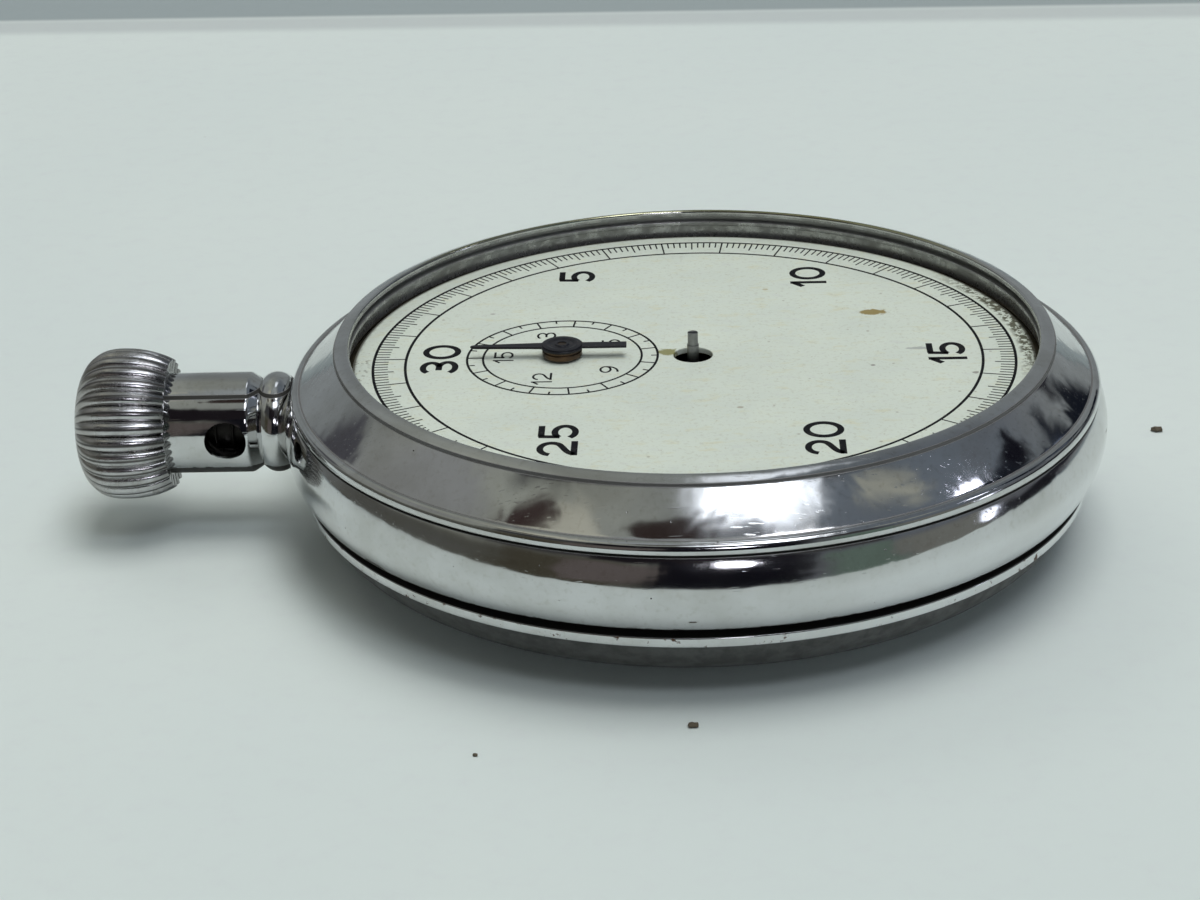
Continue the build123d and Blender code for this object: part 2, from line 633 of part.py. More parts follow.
def pallet_lever():
    """Pin-pallet lever: its pins stand just outside the escape teeth."""
    to_balance = bearing(PALLET, BALANCE)
    low, high, pin_top = ESCAPE_LOW, 8.15, 8.5
    lever = bar(PALLET, polar(PALLET, 3.05, to_balance), 0.55, low, high)
    for side in (-1, 1):
        pin = polar(ESCAPE, 3.35, bearing(ESCAPE, PALLET) + side * 32)
        lever += bar(PALLET, pin, 0.45, pin_top - 0.2, pin_top) + disc(0.13, low - 0.2, pin_top, pin)
        horn = polar(polar(PALLET, 3.2, to_balance), side * 0.38, to_balance + 90)
        lever += bar(polar(PALLET, 2.9, to_balance), horn, 0.24, low, high)
    return lever + disc(0.5, low, pin_top, PALLET) - disc(0.3, low - 1, pin_top + 1, PALLET)


def pallet_arbor():
    return train_arbor(0.3, PALLET)


# ---- balance ----

def balance_wheel():
    wheel = ring(6.2, 5.55, 3.2, 3.9, BALANCE) + ring(1.0, 0.35, 3.3, 3.7, BALANCE)
    for turn in (0, 90, 180, 270):
        start, end = polar(BALANCE, 0.7, turn), polar(BALANCE, 5.8, turn)
        wheel += bar(start, end, 0.55, 3.35, 3.65)
    return wheel - disc(0.35, 3, 4, BALANCE)


def balance_screws():
    """Timing screws set round the balance rim."""
    screws = []
    for number in range(12):
        turn = number * 30 + 15
        place = Pos(*polar(BALANCE, 6.2, turn), 3.55) * Rot(0, 0, turn) * Rot(0, 90, 0)
        screws.append(place * Cylinder(0.27, 0.45, align=UPRIGHT))
    return group(screws)


def balance_staff():
    """Staff with the hairspring's collet near its foot and the impulse roller near its top."""
    steps = [
        (0.15, 1.75, 2.5), (0.35, 2.5, 2.75), (0.7, 2.75, 3.05), (0.35, 3.05, 7.85), (0.9, 7.85, 8.2),
        (0.3, 8.2, ARBOR_HIGH), (PIVOT_R, ARBOR_HIGH, PIVOT_HIGH),
    ]
    return stack(steps, BALANCE)


def impulse_pin():
    return disc(0.12, 7.4, 7.85, polar(BALANCE, 0.62, bearing(BALANCE, PALLET)))


def hairspring():
    return spiral(0.75, 0.34, 13, 0.07, 2.8, 3.0, BALANCE)


def balance_cock():
    arm = bar(BALANCE, COCK_FOOT, 2.6, COCK_LOW, COCK_HIGH) + disc(1.9, COCK_LOW, COCK_HIGH, BALANCE)
    cock = arm + disc(1.5, COCK_LOW, BRIDGE_LOW, COCK_FOOT)
    return cock - disc(0.2, 1, 3, BALANCE) - disc(0.4, 1, 5, COCK_FOOT)


def regulator_index():
    index = ring(1.5, 0.7, 1.3, COCK_LOW, BALANCE) + bar(
        polar(BALANCE, 1.1, 190), polar(BALANCE, 4.2, 190), 0.5, 1.3, COCK_LOW
    )
    index += bar(polar(BALANCE, 1.1, -60), polar(BALANCE, 2.6, -60), 0.5, 1.3, COCK_LOW)
    return index + disc(0.1, COCK_LOW, 2.75, polar(BALANCE, 2.6, -60))


def cock_screws():
    balance_screw = screw(COCK_FOOT, 0.9, 1.1, COCK_LOW, 0.39, 5.6)
    rear_screw = screw(REAR_COCK_FOOT, 0.9, 1.3, REAR_COCK_LOW, 0.39, 5.6)
    return group([balance_screw, rear_screw])


# ---- winding ----

def toothed_barrel(radius, teeth, start, end):
    """Round body along X with square teeth on its rim."""
    body = along_x(radius, start, end)
    gap = 0.55 * 2 * math.pi * radius / teeth
    for tooth in range(teeth):
        notch = Pos((start + end) / 2, 0, radius - 0.2) * Box(end - start + 1, gap, 0.9)
        body -= Pos(0, 0, AXIS_Z) * Rot((tooth + 0.5) * 360 / teeth, 0, 0) * notch
    return body


def winding_pinion():
    pinion = toothed_barrel(WINDING_PINION_R, WINDING_PINION_TEETH, -19.0, -17.3)
    pinion += along_x(1.7, -19.8, -16.4)
    hole = Pos(-18, 0, AXIS_Z) * Box(6, STEM_SQUARE + 0.08, STEM_SQUARE + 0.08)
    return pinion - hole


def crown_wheel():
    wheel = gear(CROWN_WHEEL_TEETH, WINDING_MODULE, WINDING_LOW, WINDING_HIGH, CROWN_WHEEL, 0, 0.75)
    return wheel - ring(2.6, 1.6, WINDING_LOW - 0.1, WINDING_LOW + 0.15, CROWN_WHEEL)


def ratchet_wheel():
    phase = meshed(0, CROWN_WHEEL_TEETH, CROWN_WHEEL, RATCHET_TEETH, BARREL)
    wheel = gear(RATCHET_TEETH, WINDING_MODULE, WINDING_LOW, WINDING_HIGH, BARREL, phase, 0.8)
    return wheel - ring(5.0, 2.2, WINDING_LOW - 0.1, WINDING_LOW + 0.15, BARREL)


def ratchet_screw():
    slot = block((BARREL[0] - 2, BARREL[0] + 2), (BARREL[1] - 0.15, BARREL[1] + 0.15), (3.3, 3.65))
    return disc(1.6, 3.4, 3.95, BARREL) - slot


def click():
    tip = polar(BARREL, 7.35, 92)
    pawl = bar(CLICK, tip, 0.9, OPERATE_LOW, OPERATE_HIGH) + disc(1.0, OPERATE_LOW, OPERATE_HIGH, CLICK)
    pawl += bar(CLICK, polar(CLICK, 1.6, 20), 0.7, OPERATE_LOW, OPERATE_HIGH)
    pawl -= disc(7.1, 4, 5, BARREL)
    return pawl - disc(0.45, 4, 5, CLICK)


def click_spring():
    """Blade that presses on the click's tail."""
    foot = polar(CLICK, 4.6, -44)
    blade = bar(foot, polar(CLICK, 2.35, 5), 0.25, OPERATE_LOW, SPRING_HIGH)
    return disc(0.8, OPERATE_LOW, BRIDGE_LOW, foot) + blade


# ---- start, stop and reset ----

def column_wheel():
    """Ratchet disc that carries five upright columns."""
    teeth = 15
    corners = []
    for tooth in range(teeth):
        start = tooth * 360 / teeth
        corners += [polar(CENTRE, 2.45, start), polar(CENTRE, 2.9, start + 20)]
    face = make_face(Polyline(*corners, close=True))
    base = Pos(*COLUMN_WHEEL, COLUMN_LOW) * extrude(face, OPERATE_HIGH - COLUMN_LOW, dir=(0, 0, 1))
    columns = ring(2.1, 1.15, LEVER_LOW, COLUMN_LOW, COLUMN_WHEEL)
    for number in range(5):
        columns -= bar(COLUMN_WHEEL, polar(COLUMN_WHEEL, 3, number * 72), 1.2, LEVER_LOW - 0.1, COLUMN_LOW)
    return base + columns - disc(0.6, 2, 6, COLUMN_WHEEL)


def column_jumper():
    """Blade spring whose beak rests by the column wheel's ratchet."""
    foot = (-12.5, -17.0)
    beak = polar(COLUMN_WHEEL, 3.25, -75)
    blade = bar(foot, beak, 0.35, OPERATE_LOW, SPRING_HIGH) + disc(1.0, OPERATE_LOW, BRIDGE_LOW, foot)
    return blade - disc(2.98, 4, 5, COLUMN_WHEEL)


def operating_lever():
    """Swings about its screw when the crown's sleeve presses the upright tab."""
    tab_foot = (-21.9, -2.4)
    hook = (-13.2, -12.9)
    lever = bar(OPERATING_PIVOT, tab_foot, 1.4, OPERATE_LOW, OPERATE_HIGH)
    lever += bar(OPERATING_PIVOT, hook, 1.1, OPERATE_LOW, OPERATE_HIGH)
    lever += disc(1.3, OPERATE_LOW, OPERATE_HIGH, OPERATING_PIVOT)
    lever += block((-22.45, -22.05), (-3.2, -1.6), (OPERATE_LOW, 8.3))
    return lever - disc(0.5, 4, 5, OPERATING_PIVOT) - disc(3.05, 4, 5, COLUMN_WHEEL)


def lever_spring():
    """Blade beside the operating lever, which swings up to it."""
    foot = (-17.4, -5.2)
    blade = bar(foot, (-19.1, -3.1), 0.25, OPERATE_LOW, SPRING_HIGH)
    return disc(0.7, OPERATE_LOW, BRIDGE_LOW, foot) + blade


def brake_lever():
    """Two-armed lever with a shoe beside the balance rim."""
    shoe = polar(BALANCE, 7.95, -106)
    lever = bar(BRAKE_PIVOT, (-7.3, -12.75), 0.9, BRAKE_LOW, BRAKE_HIGH)
    lever += disc(1.0, BRAKE_LOW, BRAKE_HIGH, BRAKE_PIVOT)
    lever += bar(BRAKE_PIVOT, shoe, 0.9, BRAKE_LOW, BRAKE_HIGH) + disc(0.45, 3.3, BRAKE_HIGH, shoe)
    return lever - disc(0.45, 3, 5, BRAKE_PIVOT) - disc(2.25, 3, 5, COLUMN_WHEEL)


def reset_hammer():
    """Two-armed hammer: each face stands clear of its heart until the crown calls it down."""
    fork = (-3.6, -7.6)
    arm = bar(HAMMER_PIVOT, fork, 1.2, LEVER_LOW, LEVER_HIGH)
    arm += disc(1.1, LEVER_LOW, LEVER_HIGH, HAMMER_PIVOT)
    for heart in (CENTRE, MINUTE):
        face = heart[0] + 3.75
        arm += bar(fork, (face + 0.5, -1.0), 0.9, LEVER_LOW, LEVER_HIGH)
        arm += block((face, face + 1.0), (-1.4, 1.4), (LEVER_LOW, LEVER_HIGH))
    arm += bar(HAMMER_PIVOT, (-7.4, -13.4), 0.9, LEVER_LOW, LEVER_HIGH)
    return arm - disc(0.45, 2, 4, HAMMER_PIVOT)


def hammer_spring():
    """Blade that presses on the hammer's arm."""
    foot = (0.6, -18.3)
    blade = bar(foot, (-2.95, -13.9), 0.25, LEVER_LOW + 0.1, LEVER_HIGH - 0.1)
    return disc(0.8, LEVER_LOW, BRIDGE_LOW, foot) + blade


def pivot_screws():
    """Shouldered screws that the crown wheel, click, column wheel and levers turn on."""
    levels = (
        (OPERATING_PIVOT, 0.45, OPERATE_LOW, OPERATE_HIGH),
        (BRAKE_PIVOT, 0.4, BRAKE_LOW, BRAKE_HIGH),
        (HAMMER_PIVOT, 0.4, LEVER_LOW, LEVER_HIGH),
        (CROWN_WHEEL, 0.7, WINDING_LOW, WINDING_HIGH),
        (CLICK, 0.4, OPERATE_LOW, OPERATE_HIGH),
        (COLUMN_WHEEL, 0.55, COLUMN_LOW, OPERATE_HIGH),
    )
    screws = []
    play = 0.04
    for at, shoulder_r, low, high in levels:
        body = disc(shoulder_r, low - play, BRIDGE_LOW, at) + disc(0.38, BRIDGE_LOW, 5.7, at)
        body += disc(shoulder_r + 0.4, low - 0.5, low - play, at)
        body -= block((at[0] - 2, at[0] + 2), (at[1] - 0.1, at[1] + 0.1), (low - 0.6, low - 0.3))
        if high < SPRING_HIGH - 0.1:
            body += disc(0.8, high + play, BRIDGE_LOW, at)
        screws.append(body)
    return group(screws)


def heart(at, turn):
    """Heart cam: its radius grows evenly from the notch to the point, both ways round."""
    short, tall = 0.75, 1.75
    half = [polar(CENTRE, short + (tall - short) * step / 8, step * 22.5) for step in range(9)]
    mirror = [(x, -y) for x, y in half]
    face = make_face(Wire([Spline(*half).edge(), Spline(*mirror).edge()]))
    cam = Pos(*at, LEVER_LOW) * Rot(0, 0, turn) * extrude(face, LEVER_HIGH - LEVER_LOW, dir=(0, 0, 1))
    return cam - disc(0.4, 2, 4, at)


def sweep_heart():
    return heart(CENTRE, 0)


def minute_heart():
    return heart(MINUTE, 0)


def rear_cock():
    """Bridge over the two heart cams."""
    cock = bar(MINUTE, CENTRE, 1.8, REAR_COCK_LOW, REAR_COCK_HIGH)
    cock += bar(CENTRE, REAR_COCK_FOOT, 1.8, REAR_COCK_LOW, REAR_COCK_HIGH)
    cock += disc(1.4, REAR_COCK_LOW, BRIDGE_LOW, REAR_COCK_FOOT)
    cock -= [disc(0.24, 1, 3, at) for at in (MINUTE, CENTRE)]
    return cock - disc(0.4, 1, 5, REAR_COCK_FOOT)


NODES = [
    case_band, bezel, back_cover, pendant_tube, crown_sleeve, crown_spring, crown, stem,
    main_plate, rear_plate, pillars, pillar_screws, case_screws, plate_jewels,
    dial, minute_hand, minute_hub, minute_arbor, minute_wheel, counter_wheel,
    barrel_drum, barrel_cover, barrel_arbor, mainspring, second_wheel, second_pinion,
    third_wheel, third_pinion, sweep_wheel, sweep_arbor, escape_wheel, escape_pinion,
    pallet_lever, pallet_arbor, balance_wheel, balance_screws, balance_staff, impulse_pin,
    hairspring, balance_cock, regulator_index, cock_screws,
    winding_pinion, crown_wheel, ratchet_wheel, ratchet_screw, click, click_spring,
    column_wheel, column_jumper, operating_lever, lever_spring, brake_lever,
    reset_hammer, hammer_spring, sweep_heart, minute_heart, rear_cock, pivot_screws,
]

os.makedirs("parts", exist_ok=True)
for make in NODES:
    export_step(make(), f"parts/{make.__name__}.step")
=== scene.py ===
import json
import math

import bmesh
import bpy
from mathutils import Matrix, Vector


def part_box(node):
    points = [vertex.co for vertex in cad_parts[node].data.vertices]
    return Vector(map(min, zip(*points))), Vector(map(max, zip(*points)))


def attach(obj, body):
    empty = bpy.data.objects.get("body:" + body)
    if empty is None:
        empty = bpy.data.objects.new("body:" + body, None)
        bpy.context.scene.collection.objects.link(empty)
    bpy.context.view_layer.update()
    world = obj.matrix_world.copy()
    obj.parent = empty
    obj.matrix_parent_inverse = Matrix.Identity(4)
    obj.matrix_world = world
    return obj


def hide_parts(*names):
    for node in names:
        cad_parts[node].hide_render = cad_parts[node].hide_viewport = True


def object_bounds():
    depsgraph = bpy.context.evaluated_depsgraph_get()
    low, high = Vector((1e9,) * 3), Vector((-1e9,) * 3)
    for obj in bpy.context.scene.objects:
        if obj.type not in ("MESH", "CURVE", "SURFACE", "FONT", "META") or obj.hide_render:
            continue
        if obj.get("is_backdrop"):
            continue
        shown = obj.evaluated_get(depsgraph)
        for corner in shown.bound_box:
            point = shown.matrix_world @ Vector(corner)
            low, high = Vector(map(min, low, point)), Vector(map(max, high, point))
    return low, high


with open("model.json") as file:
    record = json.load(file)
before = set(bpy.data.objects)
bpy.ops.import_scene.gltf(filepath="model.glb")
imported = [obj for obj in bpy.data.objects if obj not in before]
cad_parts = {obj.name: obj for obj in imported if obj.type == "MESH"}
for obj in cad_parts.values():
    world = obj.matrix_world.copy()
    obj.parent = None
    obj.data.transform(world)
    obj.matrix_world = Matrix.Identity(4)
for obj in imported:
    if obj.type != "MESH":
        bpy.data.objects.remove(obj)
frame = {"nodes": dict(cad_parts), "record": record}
CAD_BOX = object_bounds()

# A mechanical stopwatch lying on its back. Meshes are made in millimetres and scaled to metres.
MM = 0.001
SHARP = math.radians(34)
LOW, HIGH = 0, 1
X, Y, Z = 0, 1, 2


def edge(node, end, axis):
    """Lowest or highest coordinate of a CAD node, in millimetres."""
    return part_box(node)[end][axis] / MM


# ---- places and sizes taken from the frame ----
DIAL_Z = edge("dial", HIGH, Z)
DIAL_UNDER = edge("dial", LOW, Z)
DIAL_R = edge("dial", HIGH, X)
BEZEL_LOW = edge("bezel", LOW, Z)
BEZEL_TOP = edge("bezel", HIGH, Z)
BEZEL_R = edge("bezel", HIGH, X)
BAND_R = edge("case_band", HIGH, X)
BAND_TOP = edge("case_band", HIGH, Z)
BAND_BOTTOM = edge("case_band", LOW, Z)
COVER_R = edge("back_cover", HIGH, X)
COVER_TOP = edge("back_cover", HIGH, Z)
TUBE_OUT = edge("pendant_tube", LOW, X)
TUBE_IN = edge("pendant_tube", HIGH, X)
TUBE_R = (edge("pendant_tube", HIGH, Z) - edge("pendant_tube", LOW, Z)) / 2
AXIS_Z = (edge("pendant_tube", HIGH, Z) + edge("pendant_tube", LOW, Z)) / 2
CROWN_TIP = edge("crown", LOW, X)
CROWN_END = edge("crown", HIGH, X)
CROWN_R = 5.16
CROWN_WIDE = -39.2
FLUTES = 28
CROWN_HOLLOW_R = 3.56
CROWN_HOLLOW_X = -37.9
CROWN_FLAT_R = 1.2
CROWN_BACK_R = 4.36
STEM_HOLE_R = 0.81
STEM_OUT = -40.2
MINUTE = ((edge("minute_hub", HIGH, X) + edge("minute_hub", LOW, X)) / 2, 0)
HUB_LOW = edge("minute_hub", LOW, Z)
HUB_R = (edge("minute_hub", HIGH, X) - edge("minute_hub", LOW, X)) / 2
HAND_LOW = edge("minute_hand", LOW, Z)
HAND_TOP = edge("minute_hand", HIGH, Z)

# ---- outlines of the case, as radius and height, and of the pendant, as radius and x ----
NECK_R = 25.4
RIM_GAP = 0.02
OPENING_R = 23.08
WALL_R = 23.3
STEP_R = 24.09
STEP_Z = 13.85
STEP_DEPTH = 0.14
SLOPE_MIDDLE = (25.42, 12.33)
SLOPE_END = (26.56, 11.3)
BEAD_HIGH = 11.34
BEAD_WIDE_Z = 10.98
SEAT_LOW = 12.9
SEAT_HIGH = 13.0
BAND_LOW = 5.5
BAND_HIGH = 10.45
BAND_LOW_R = 26.85
BAND_HIGH_R = 27.05
BAND_WIDE_Z = 7.8
LEDGE_WALL_R = 23.45
LEDGE_R = 22.8
LEDGE_TOP = 8.8
LEDGE_LOW = 8.0
BAND_INNER_R = 24.3
LEDGE_SLOT = ((-25, -20), (-4.0, 2.6), (LEDGE_LOW - 0.1, LEDGE_TOP))
RIM_LOW = 4.12
COVER_STEP_R = 26.2
GROOVE_R = 23.5
GROOVE_LOW = 13.25
GROOVE_HIGH = 13.7
BACK_WALL = 0.8
BACK_REST_R = 12
BACK_INNER_TOP = 4.18
WAIST_R = 2.93
TUBE_SHOULDER = -30.1
BEAD_R = 3.44
BEAD_X = -28.38
BEAD_HALF = 1.02
SPIGOT_R = 2.45
SPIGOT_X = -27.25
TUBE_BORE_R = 2.35
TUBE_BORE_END = -27.6
SLEEVE_HOLE_R = 1.86
BOW_HOLE = (-31.6, 1.24)
COUNTERSINK = 0.17

# ---- dial printing ----
INK_DEPTH = 0.012
DIAL_LOW = DIAL_Z - 0.4
FOOT_R = 0.38
FOOT_PLACE_R = 20.4
DIAL_HOLE_R = 1.32
SECONDS_OUTER = 21.56
SECONDS_INNER = 19.39
MINUTES_OUTER = 6.44
MINUTES_INNER = 5.36
NUMERAL_HEIGHT = 2.58
NUMERAL_WEIGHT = 0.165
MINUTE_NUMERALS_R = 3.98
MINUTE_NUMERAL_HEIGHT = 1.4
MINUTE_NUMERAL_WEIGHT = 0.105


# ======== shapes ========

def rounded(corners, steps=4):
    """Closed outline from (a, b, radius) corners, where a corner with a radius is rounded."""
    outline = []
    for index, (a, b, radius) in enumerate(corners):
        corner = Vector((a, b))
        if not radius:
            outline.append(corner)
            continue
        before = Vector(corners[index - 1][:2]) - corner
        after = Vector(corners[(index + 1) % len(corners)][:2]) - corner
        half = before.angle(after) / 2
        reach = min(radius / math.tan(half), 0.45 * before.length, 0.45 * after.length)
        middle = (before.normalized() + after.normalized()).normalized()
        centre = corner + middle * reach / math.cos(half)
        first = corner + before.normalized() * reach - centre
        turn = first.angle_signed(corner + after.normalized() * reach - centre)
        for step in range(steps + 1):
            outline.append(centre + Matrix.Rotation(-turn * step / steps, 2) @ first)
    return outline


def arc(start, middle, end, steps, fillet=0.0):
    """Corners along the circle through three points; the two ends take the fillet."""
    a, b, c = Vector(start), Vector(middle), Vector(end)
    d = 2 * (a.x * (b.y - c.y) + b.x * (c.y - a.y) + c.x * (a.y - b.y))
    aa, bb, cc = a.length_squared, b.length_squared, c.length_squared
    centre = Vector((
        (aa * (b.y - c.y) + bb * (c.y - a.y) + cc * (a.y - b.y)) / d,
        (aa * (c.x - b.x) + bb * (a.x - c.x) + cc * (b.x - a.x)) / d,
    ))
    turn = (a - centre).angle_signed(b - centre) + (b - centre).angle_signed(c - centre)
    corners = []
    for step in range(steps + 1):
        point = centre + Matrix.Rotation(-turn * step / steps, 2) @ (a - centre)
        corners.append((point.x, point.y, fillet if step in (0, steps) else 0))
    return corners


def curve(p0, p1, p2, p3, steps):
    """Points of a cubic curve, without its first point."""
    points = []
    for step in range(1, steps + 1):
        t = step / steps
        u = 1 - t
        outer = u**3 * Vector(p0) + t**3 * Vector(p3)
        points.append(outer + 3 * u * u * t * Vector(p1) + 3 * u * t * t * Vector(p2))
    return points


def upright(radius, angle, height, at=(0, 0)):
    return (at[0] + radius * math.cos(angle), at[1] + radius * math.sin(angle), height)


def lying(radius, angle, along):
    return (along, radius * math.sin(angle), AXIS_Z + radius * math.cos(angle))


def spin(outline, turns, place=upright):
    """Closed outline of (radius, height) points turned about an axis."""
    verts, rings, faces = [], [], []
    for radius, height in outline:
        if radius < 1e-6:
            rings.append([len(verts)] * turns)
            verts.append(place(0, 0, height))
        else:
            rings.append(list(range(len(verts), len(verts) + turns)))
            verts += [place(radius, math.tau * turn / turns, height) for turn in range(turns)]
    for ring, upper in zip(rings, rings[1:] + rings[:1]):
        for turn in range(turns):
            after = (turn + 1) % turns
            face = [ring[turn], ring[after], upper[after], upper[turn]]
            face = [v for i, v in enumerate(face) if v not in face[:i]]
            if len(face) > 2:
                faces.append(face)
    return verts, faces


def rod(radius, low, high, turns=48, place=upright):
    """Plain round solid, used only for cutting holes."""
    return spin([(0, low), (radius, low), (radius, high), (0, high)], turns, place)


def brick(x, y, z):
    """Box between two limits on each axis, used only for cutting."""
    verts = [(a, b, c) for a in x for b in y for c in z]
    faces = [(0, 1, 3, 2), (4, 6, 7, 5), (0, 4, 5, 1), (2, 3, 7, 6), (0, 2, 6, 4), (1, 5, 7, 3)]
    return verts, faces


def merge(shapes):
    """Several shapes as one list of vertices and one of faces."""
    verts, faces = [], []
    for more_verts, more_faces in shapes:
        faces += [[index + len(verts) for index in face] for face in more_faces]
        verts += more_verts
    return verts, faces


def offsets(points, distance, closed):
    """Points moved sideways by a distance, with mitred corners."""
    moved = []
    count = len(points)
    for index, point in enumerate(points):
        ahead = points[(index + 1) % count] if closed or index < count - 1 else None
        behind = points[index - 1] if closed or index > 0 else None
        sides = []
        for start, end in ((behind, point), (point, ahead)):
            if start is not None and end is not None:
                along = (end - start).normalized()
                sides.append(Vector((-along.y, along.x)))
        normal = sum(sides, Vector((0, 0))).normalized()
        moved.append(point + normal * distance / max(normal.dot(sides[0]), 0.4))
    return moved


def ribbon(points, width, low, high, closed=False):
    """Flat strip of one width that follows a line."""
    points = [Vector(point) for point in points]
    left, right = offsets(points, width / 2, closed), offsets(points, -width / 2, closed)
    verts, faces = [], []
    for a, b in zip(left, right):
        verts += [(a.x, a.y, low), (a.x, a.y, high), (b.x, b.y, high), (b.x, b.y, low)]
    count = len(points)
    for index in range(count if closed else count - 1):
        near, far = 4 * index, 4 * ((index + 1) % count)
        for corner in range(4):
            other = (corner + 1) % 4
            faces.append([near + corner, near + other, far + other, far + corner])
    if not closed:
        faces += [[3, 2, 1, 0], [4 * count - 4, 4 * count - 3, 4 * count - 2, 4 * count - 1]]
    return verts, faces


def slab(outline, low, high, bevel):
    """Plate with a sloped upper edge; the outline runs anticlockwise."""
    outline = [Vector(point) for point in outline]
    inner = offsets(outline, bevel, True)
    levels = [(inner, low), (outline, low + bevel), (outline, high - bevel), (inner, high)]
    verts = [(point.x, point.y, height) for points, height in levels for point in points]
    count = len(outline)
    faces = [list(range(count))[::-1], list(range(3 * count, 4 * count))]
    for level in range(3):
        for index in range(count):
            after = (index + 1) % count
            base = level * count
            faces.append([base + index, base + after, base + count + after, base + count + index])
    return verts, faces


# ======== objects ========

def bare(name, shape):
    """Mesh object in millimetres with its faces turned outwards."""
    mesh = bpy.data.meshes.new(name)
    mesh.from_pydata(shape[0], [], shape[1])
    work = bmesh.new()
    work.from_mesh(mesh)
    bmesh.ops.recalc_face_normals(work, faces=work.faces)
    work.to_mesh(mesh)
    work.free()
    made = bpy.data.objects.new(name, mesh)
    bpy.context.scene.collection.objects.link(made)
    return made


def cut(made, shape):
    """Takes a shape away from a mesh object."""
    tool = bare("cutter", shape)
    change = made.modifiers.new("cut", "BOOLEAN")
    change.operation = "DIFFERENCE"
    change.solver = "EXACT"
    change.object = tool
    bpy.context.view_layer.update()
    result = bpy.data.meshes.new_from_object(made.evaluated_get(bpy.context.evaluated_depsgraph_get()))
    made.modifiers.clear()
    made.data = result
    bpy.data.objects.remove(tool)


def finish_piece(made, material, body=None, stands_for=()):
    """Scales a piece to metres, smooths it, gives it its material and joins it to the frame."""
    made.data.transform(Matrix.Scale(MM, 4))
    made.data.materials.clear()
    made.data.materials.append(material)
    made.data.shade_smooth()
    made.data.set_sharp_from_angle(angle=SHARP)
    if body is None:
        made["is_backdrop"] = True
        return made
    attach(made, body)
    if stands_for:
        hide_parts(*stands_for)
    return made


# ======== materials ========

class Graph:
    """Short way to add and join shader nodes."""

    def __init__(self, owner):
        owner.use_nodes = True
        self.tree = owner.node_tree
        self.tree.nodes.clear()

    def add(self, kind, values=None, **settings):
        node = self.tree.nodes.new(kind)
        for name, value in settings.items():
            setattr(node, name, value)
        for name, value in (values or {}).items():
            self.put(node.inputs[name], value)
        return node

    def put(self, socket, value):
        if isinstance(value, bpy.types.NodeSocket):
            self.tree.links.new(value, socket)
        else:
            socket.default_value = value

    def math(self, operation, *values, clamp=False):
        node = self.add("ShaderNodeMath", operation=operation, use_clamp=clamp)
        for socket, value in zip(node.inputs, values):
            self.put(socket, value)
        return node.outputs[0]

    def times(self, *values):
        product = values[0]
        for value in values[1:]:
            product = self.math("MULTIPLY", product, value)
        return product

    def most(self, *values):
        largest = values[0]
        for value in values[1:]:
            largest = self.math("MAXIMUM", largest, value)
        return largest

    def step(self, value, low, high):
        """0 below low, 1 above high and smooth between; the other way round if low is above high."""
        flip = low > high
        node = self.add("ShaderNodeMapRange", interpolation_type="SMOOTHSTEP")
        limits = (high, low) if flip else (low, high)
        for socket, number in zip(node.inputs, (value, *limits, 1.0 if flip else 0.0, 0.0 if flip else 1.0)):
            self.put(socket, number)
        return node.outputs[0]

    def between(self, value, low, high, soft):
        rise = self.step(value, low - soft, low + soft)
        return self.times(rise, self.step(value, high + soft, high - soft))

    def mix(self, share, first, second):
        node = self.add("ShaderNodeMix", data_type="RGBA")
        self.put(node.inputs[0], share)
        for socket, colour in ((node.inputs[6], first), (node.inputs[7], second)):
            self.put(socket, colour if isinstance(colour, bpy.types.NodeSocket) else (*colour, 1))
        return node.outputs[2]

    def blend(self, share, first, second):
        """Number between two numbers."""
        return self.math("ADD", first, self.times(self.math("SUBTRACT", second, first), share))

    def split(self, vector):
        return self.add("ShaderNodeSeparateXYZ", {"Vector": vector}).outputs

    def place(self):
        """Coordinates on the piece, in millimetres."""
        values = {"Vector": self.add("ShaderNodeTexCoord").outputs["Object"], "Scale": 1 / MM}
        return self.add("ShaderNodeVectorMath", values, operation="SCALE").outputs[0]

    def turned(self, vector, angles, stretch):
        values = {"Vector": vector, "Rotation": [math.radians(a) for a in angles], "Scale": stretch}
        return self.add("ShaderNodeMapping", values).outputs[0]

    def noise(self, vector, scale, detail=3.0, rough=0.5, warp=0.0):
        values = {"Vector": vector, "Scale": scale, "Detail": detail, "Roughness": rough, "Distortion": warp}
        return self.add("ShaderNodeTexNoise", values).outputs["Fac"]

    def specks(self, vector, scale, size, share):
        """Small round marks in a share of the cells."""
        cells = self.add("ShaderNodeTexVoronoi", {"Vector": vector, "Scale": scale})
        chosen = self.step(self.split(cells.outputs["Color"])[0], 1 - share, 1 - share + 0.01)
        return self.times(self.step(cells.outputs["Distance"], size, size * 0.45), chosen)

    def scratches(self, vector, fine, share):
        """Hairlines in a few directions, as long thin noise."""
        lines = []
        for angles in ((14, 31, 8), (-38, 12, 64), (70, -24, 118)):
            long_grain = self.turned(vector, angles, (fine * 0.035, fine, fine))
            lines.append(self.step(self.noise(long_grain, 1, 2, 0.4), share, share + 0.05))
        return self.most(*lines)

    def bump(self, height, depth, strength=1.0):
        values = {"Height": height, "Distance": depth * MM, "Strength": strength}
        return self.add("ShaderNodeBump", values).outputs["Normal"]

    def surface(self, **inputs):
        values = {}
        for name, value in inputs.items():
            values[name.replace("_", " ").title().replace("Ior", "IOR")] = value
        shader = self.add("ShaderNodeBsdfPrincipled", values)
        out = self.add("ShaderNodeOutputMaterial")
        self.tree.links.new(shader.outputs[0], out.inputs["Surface"])


def new_material(name):
    material = bpy.data.materials.new(name)
    return material, Graph(material)


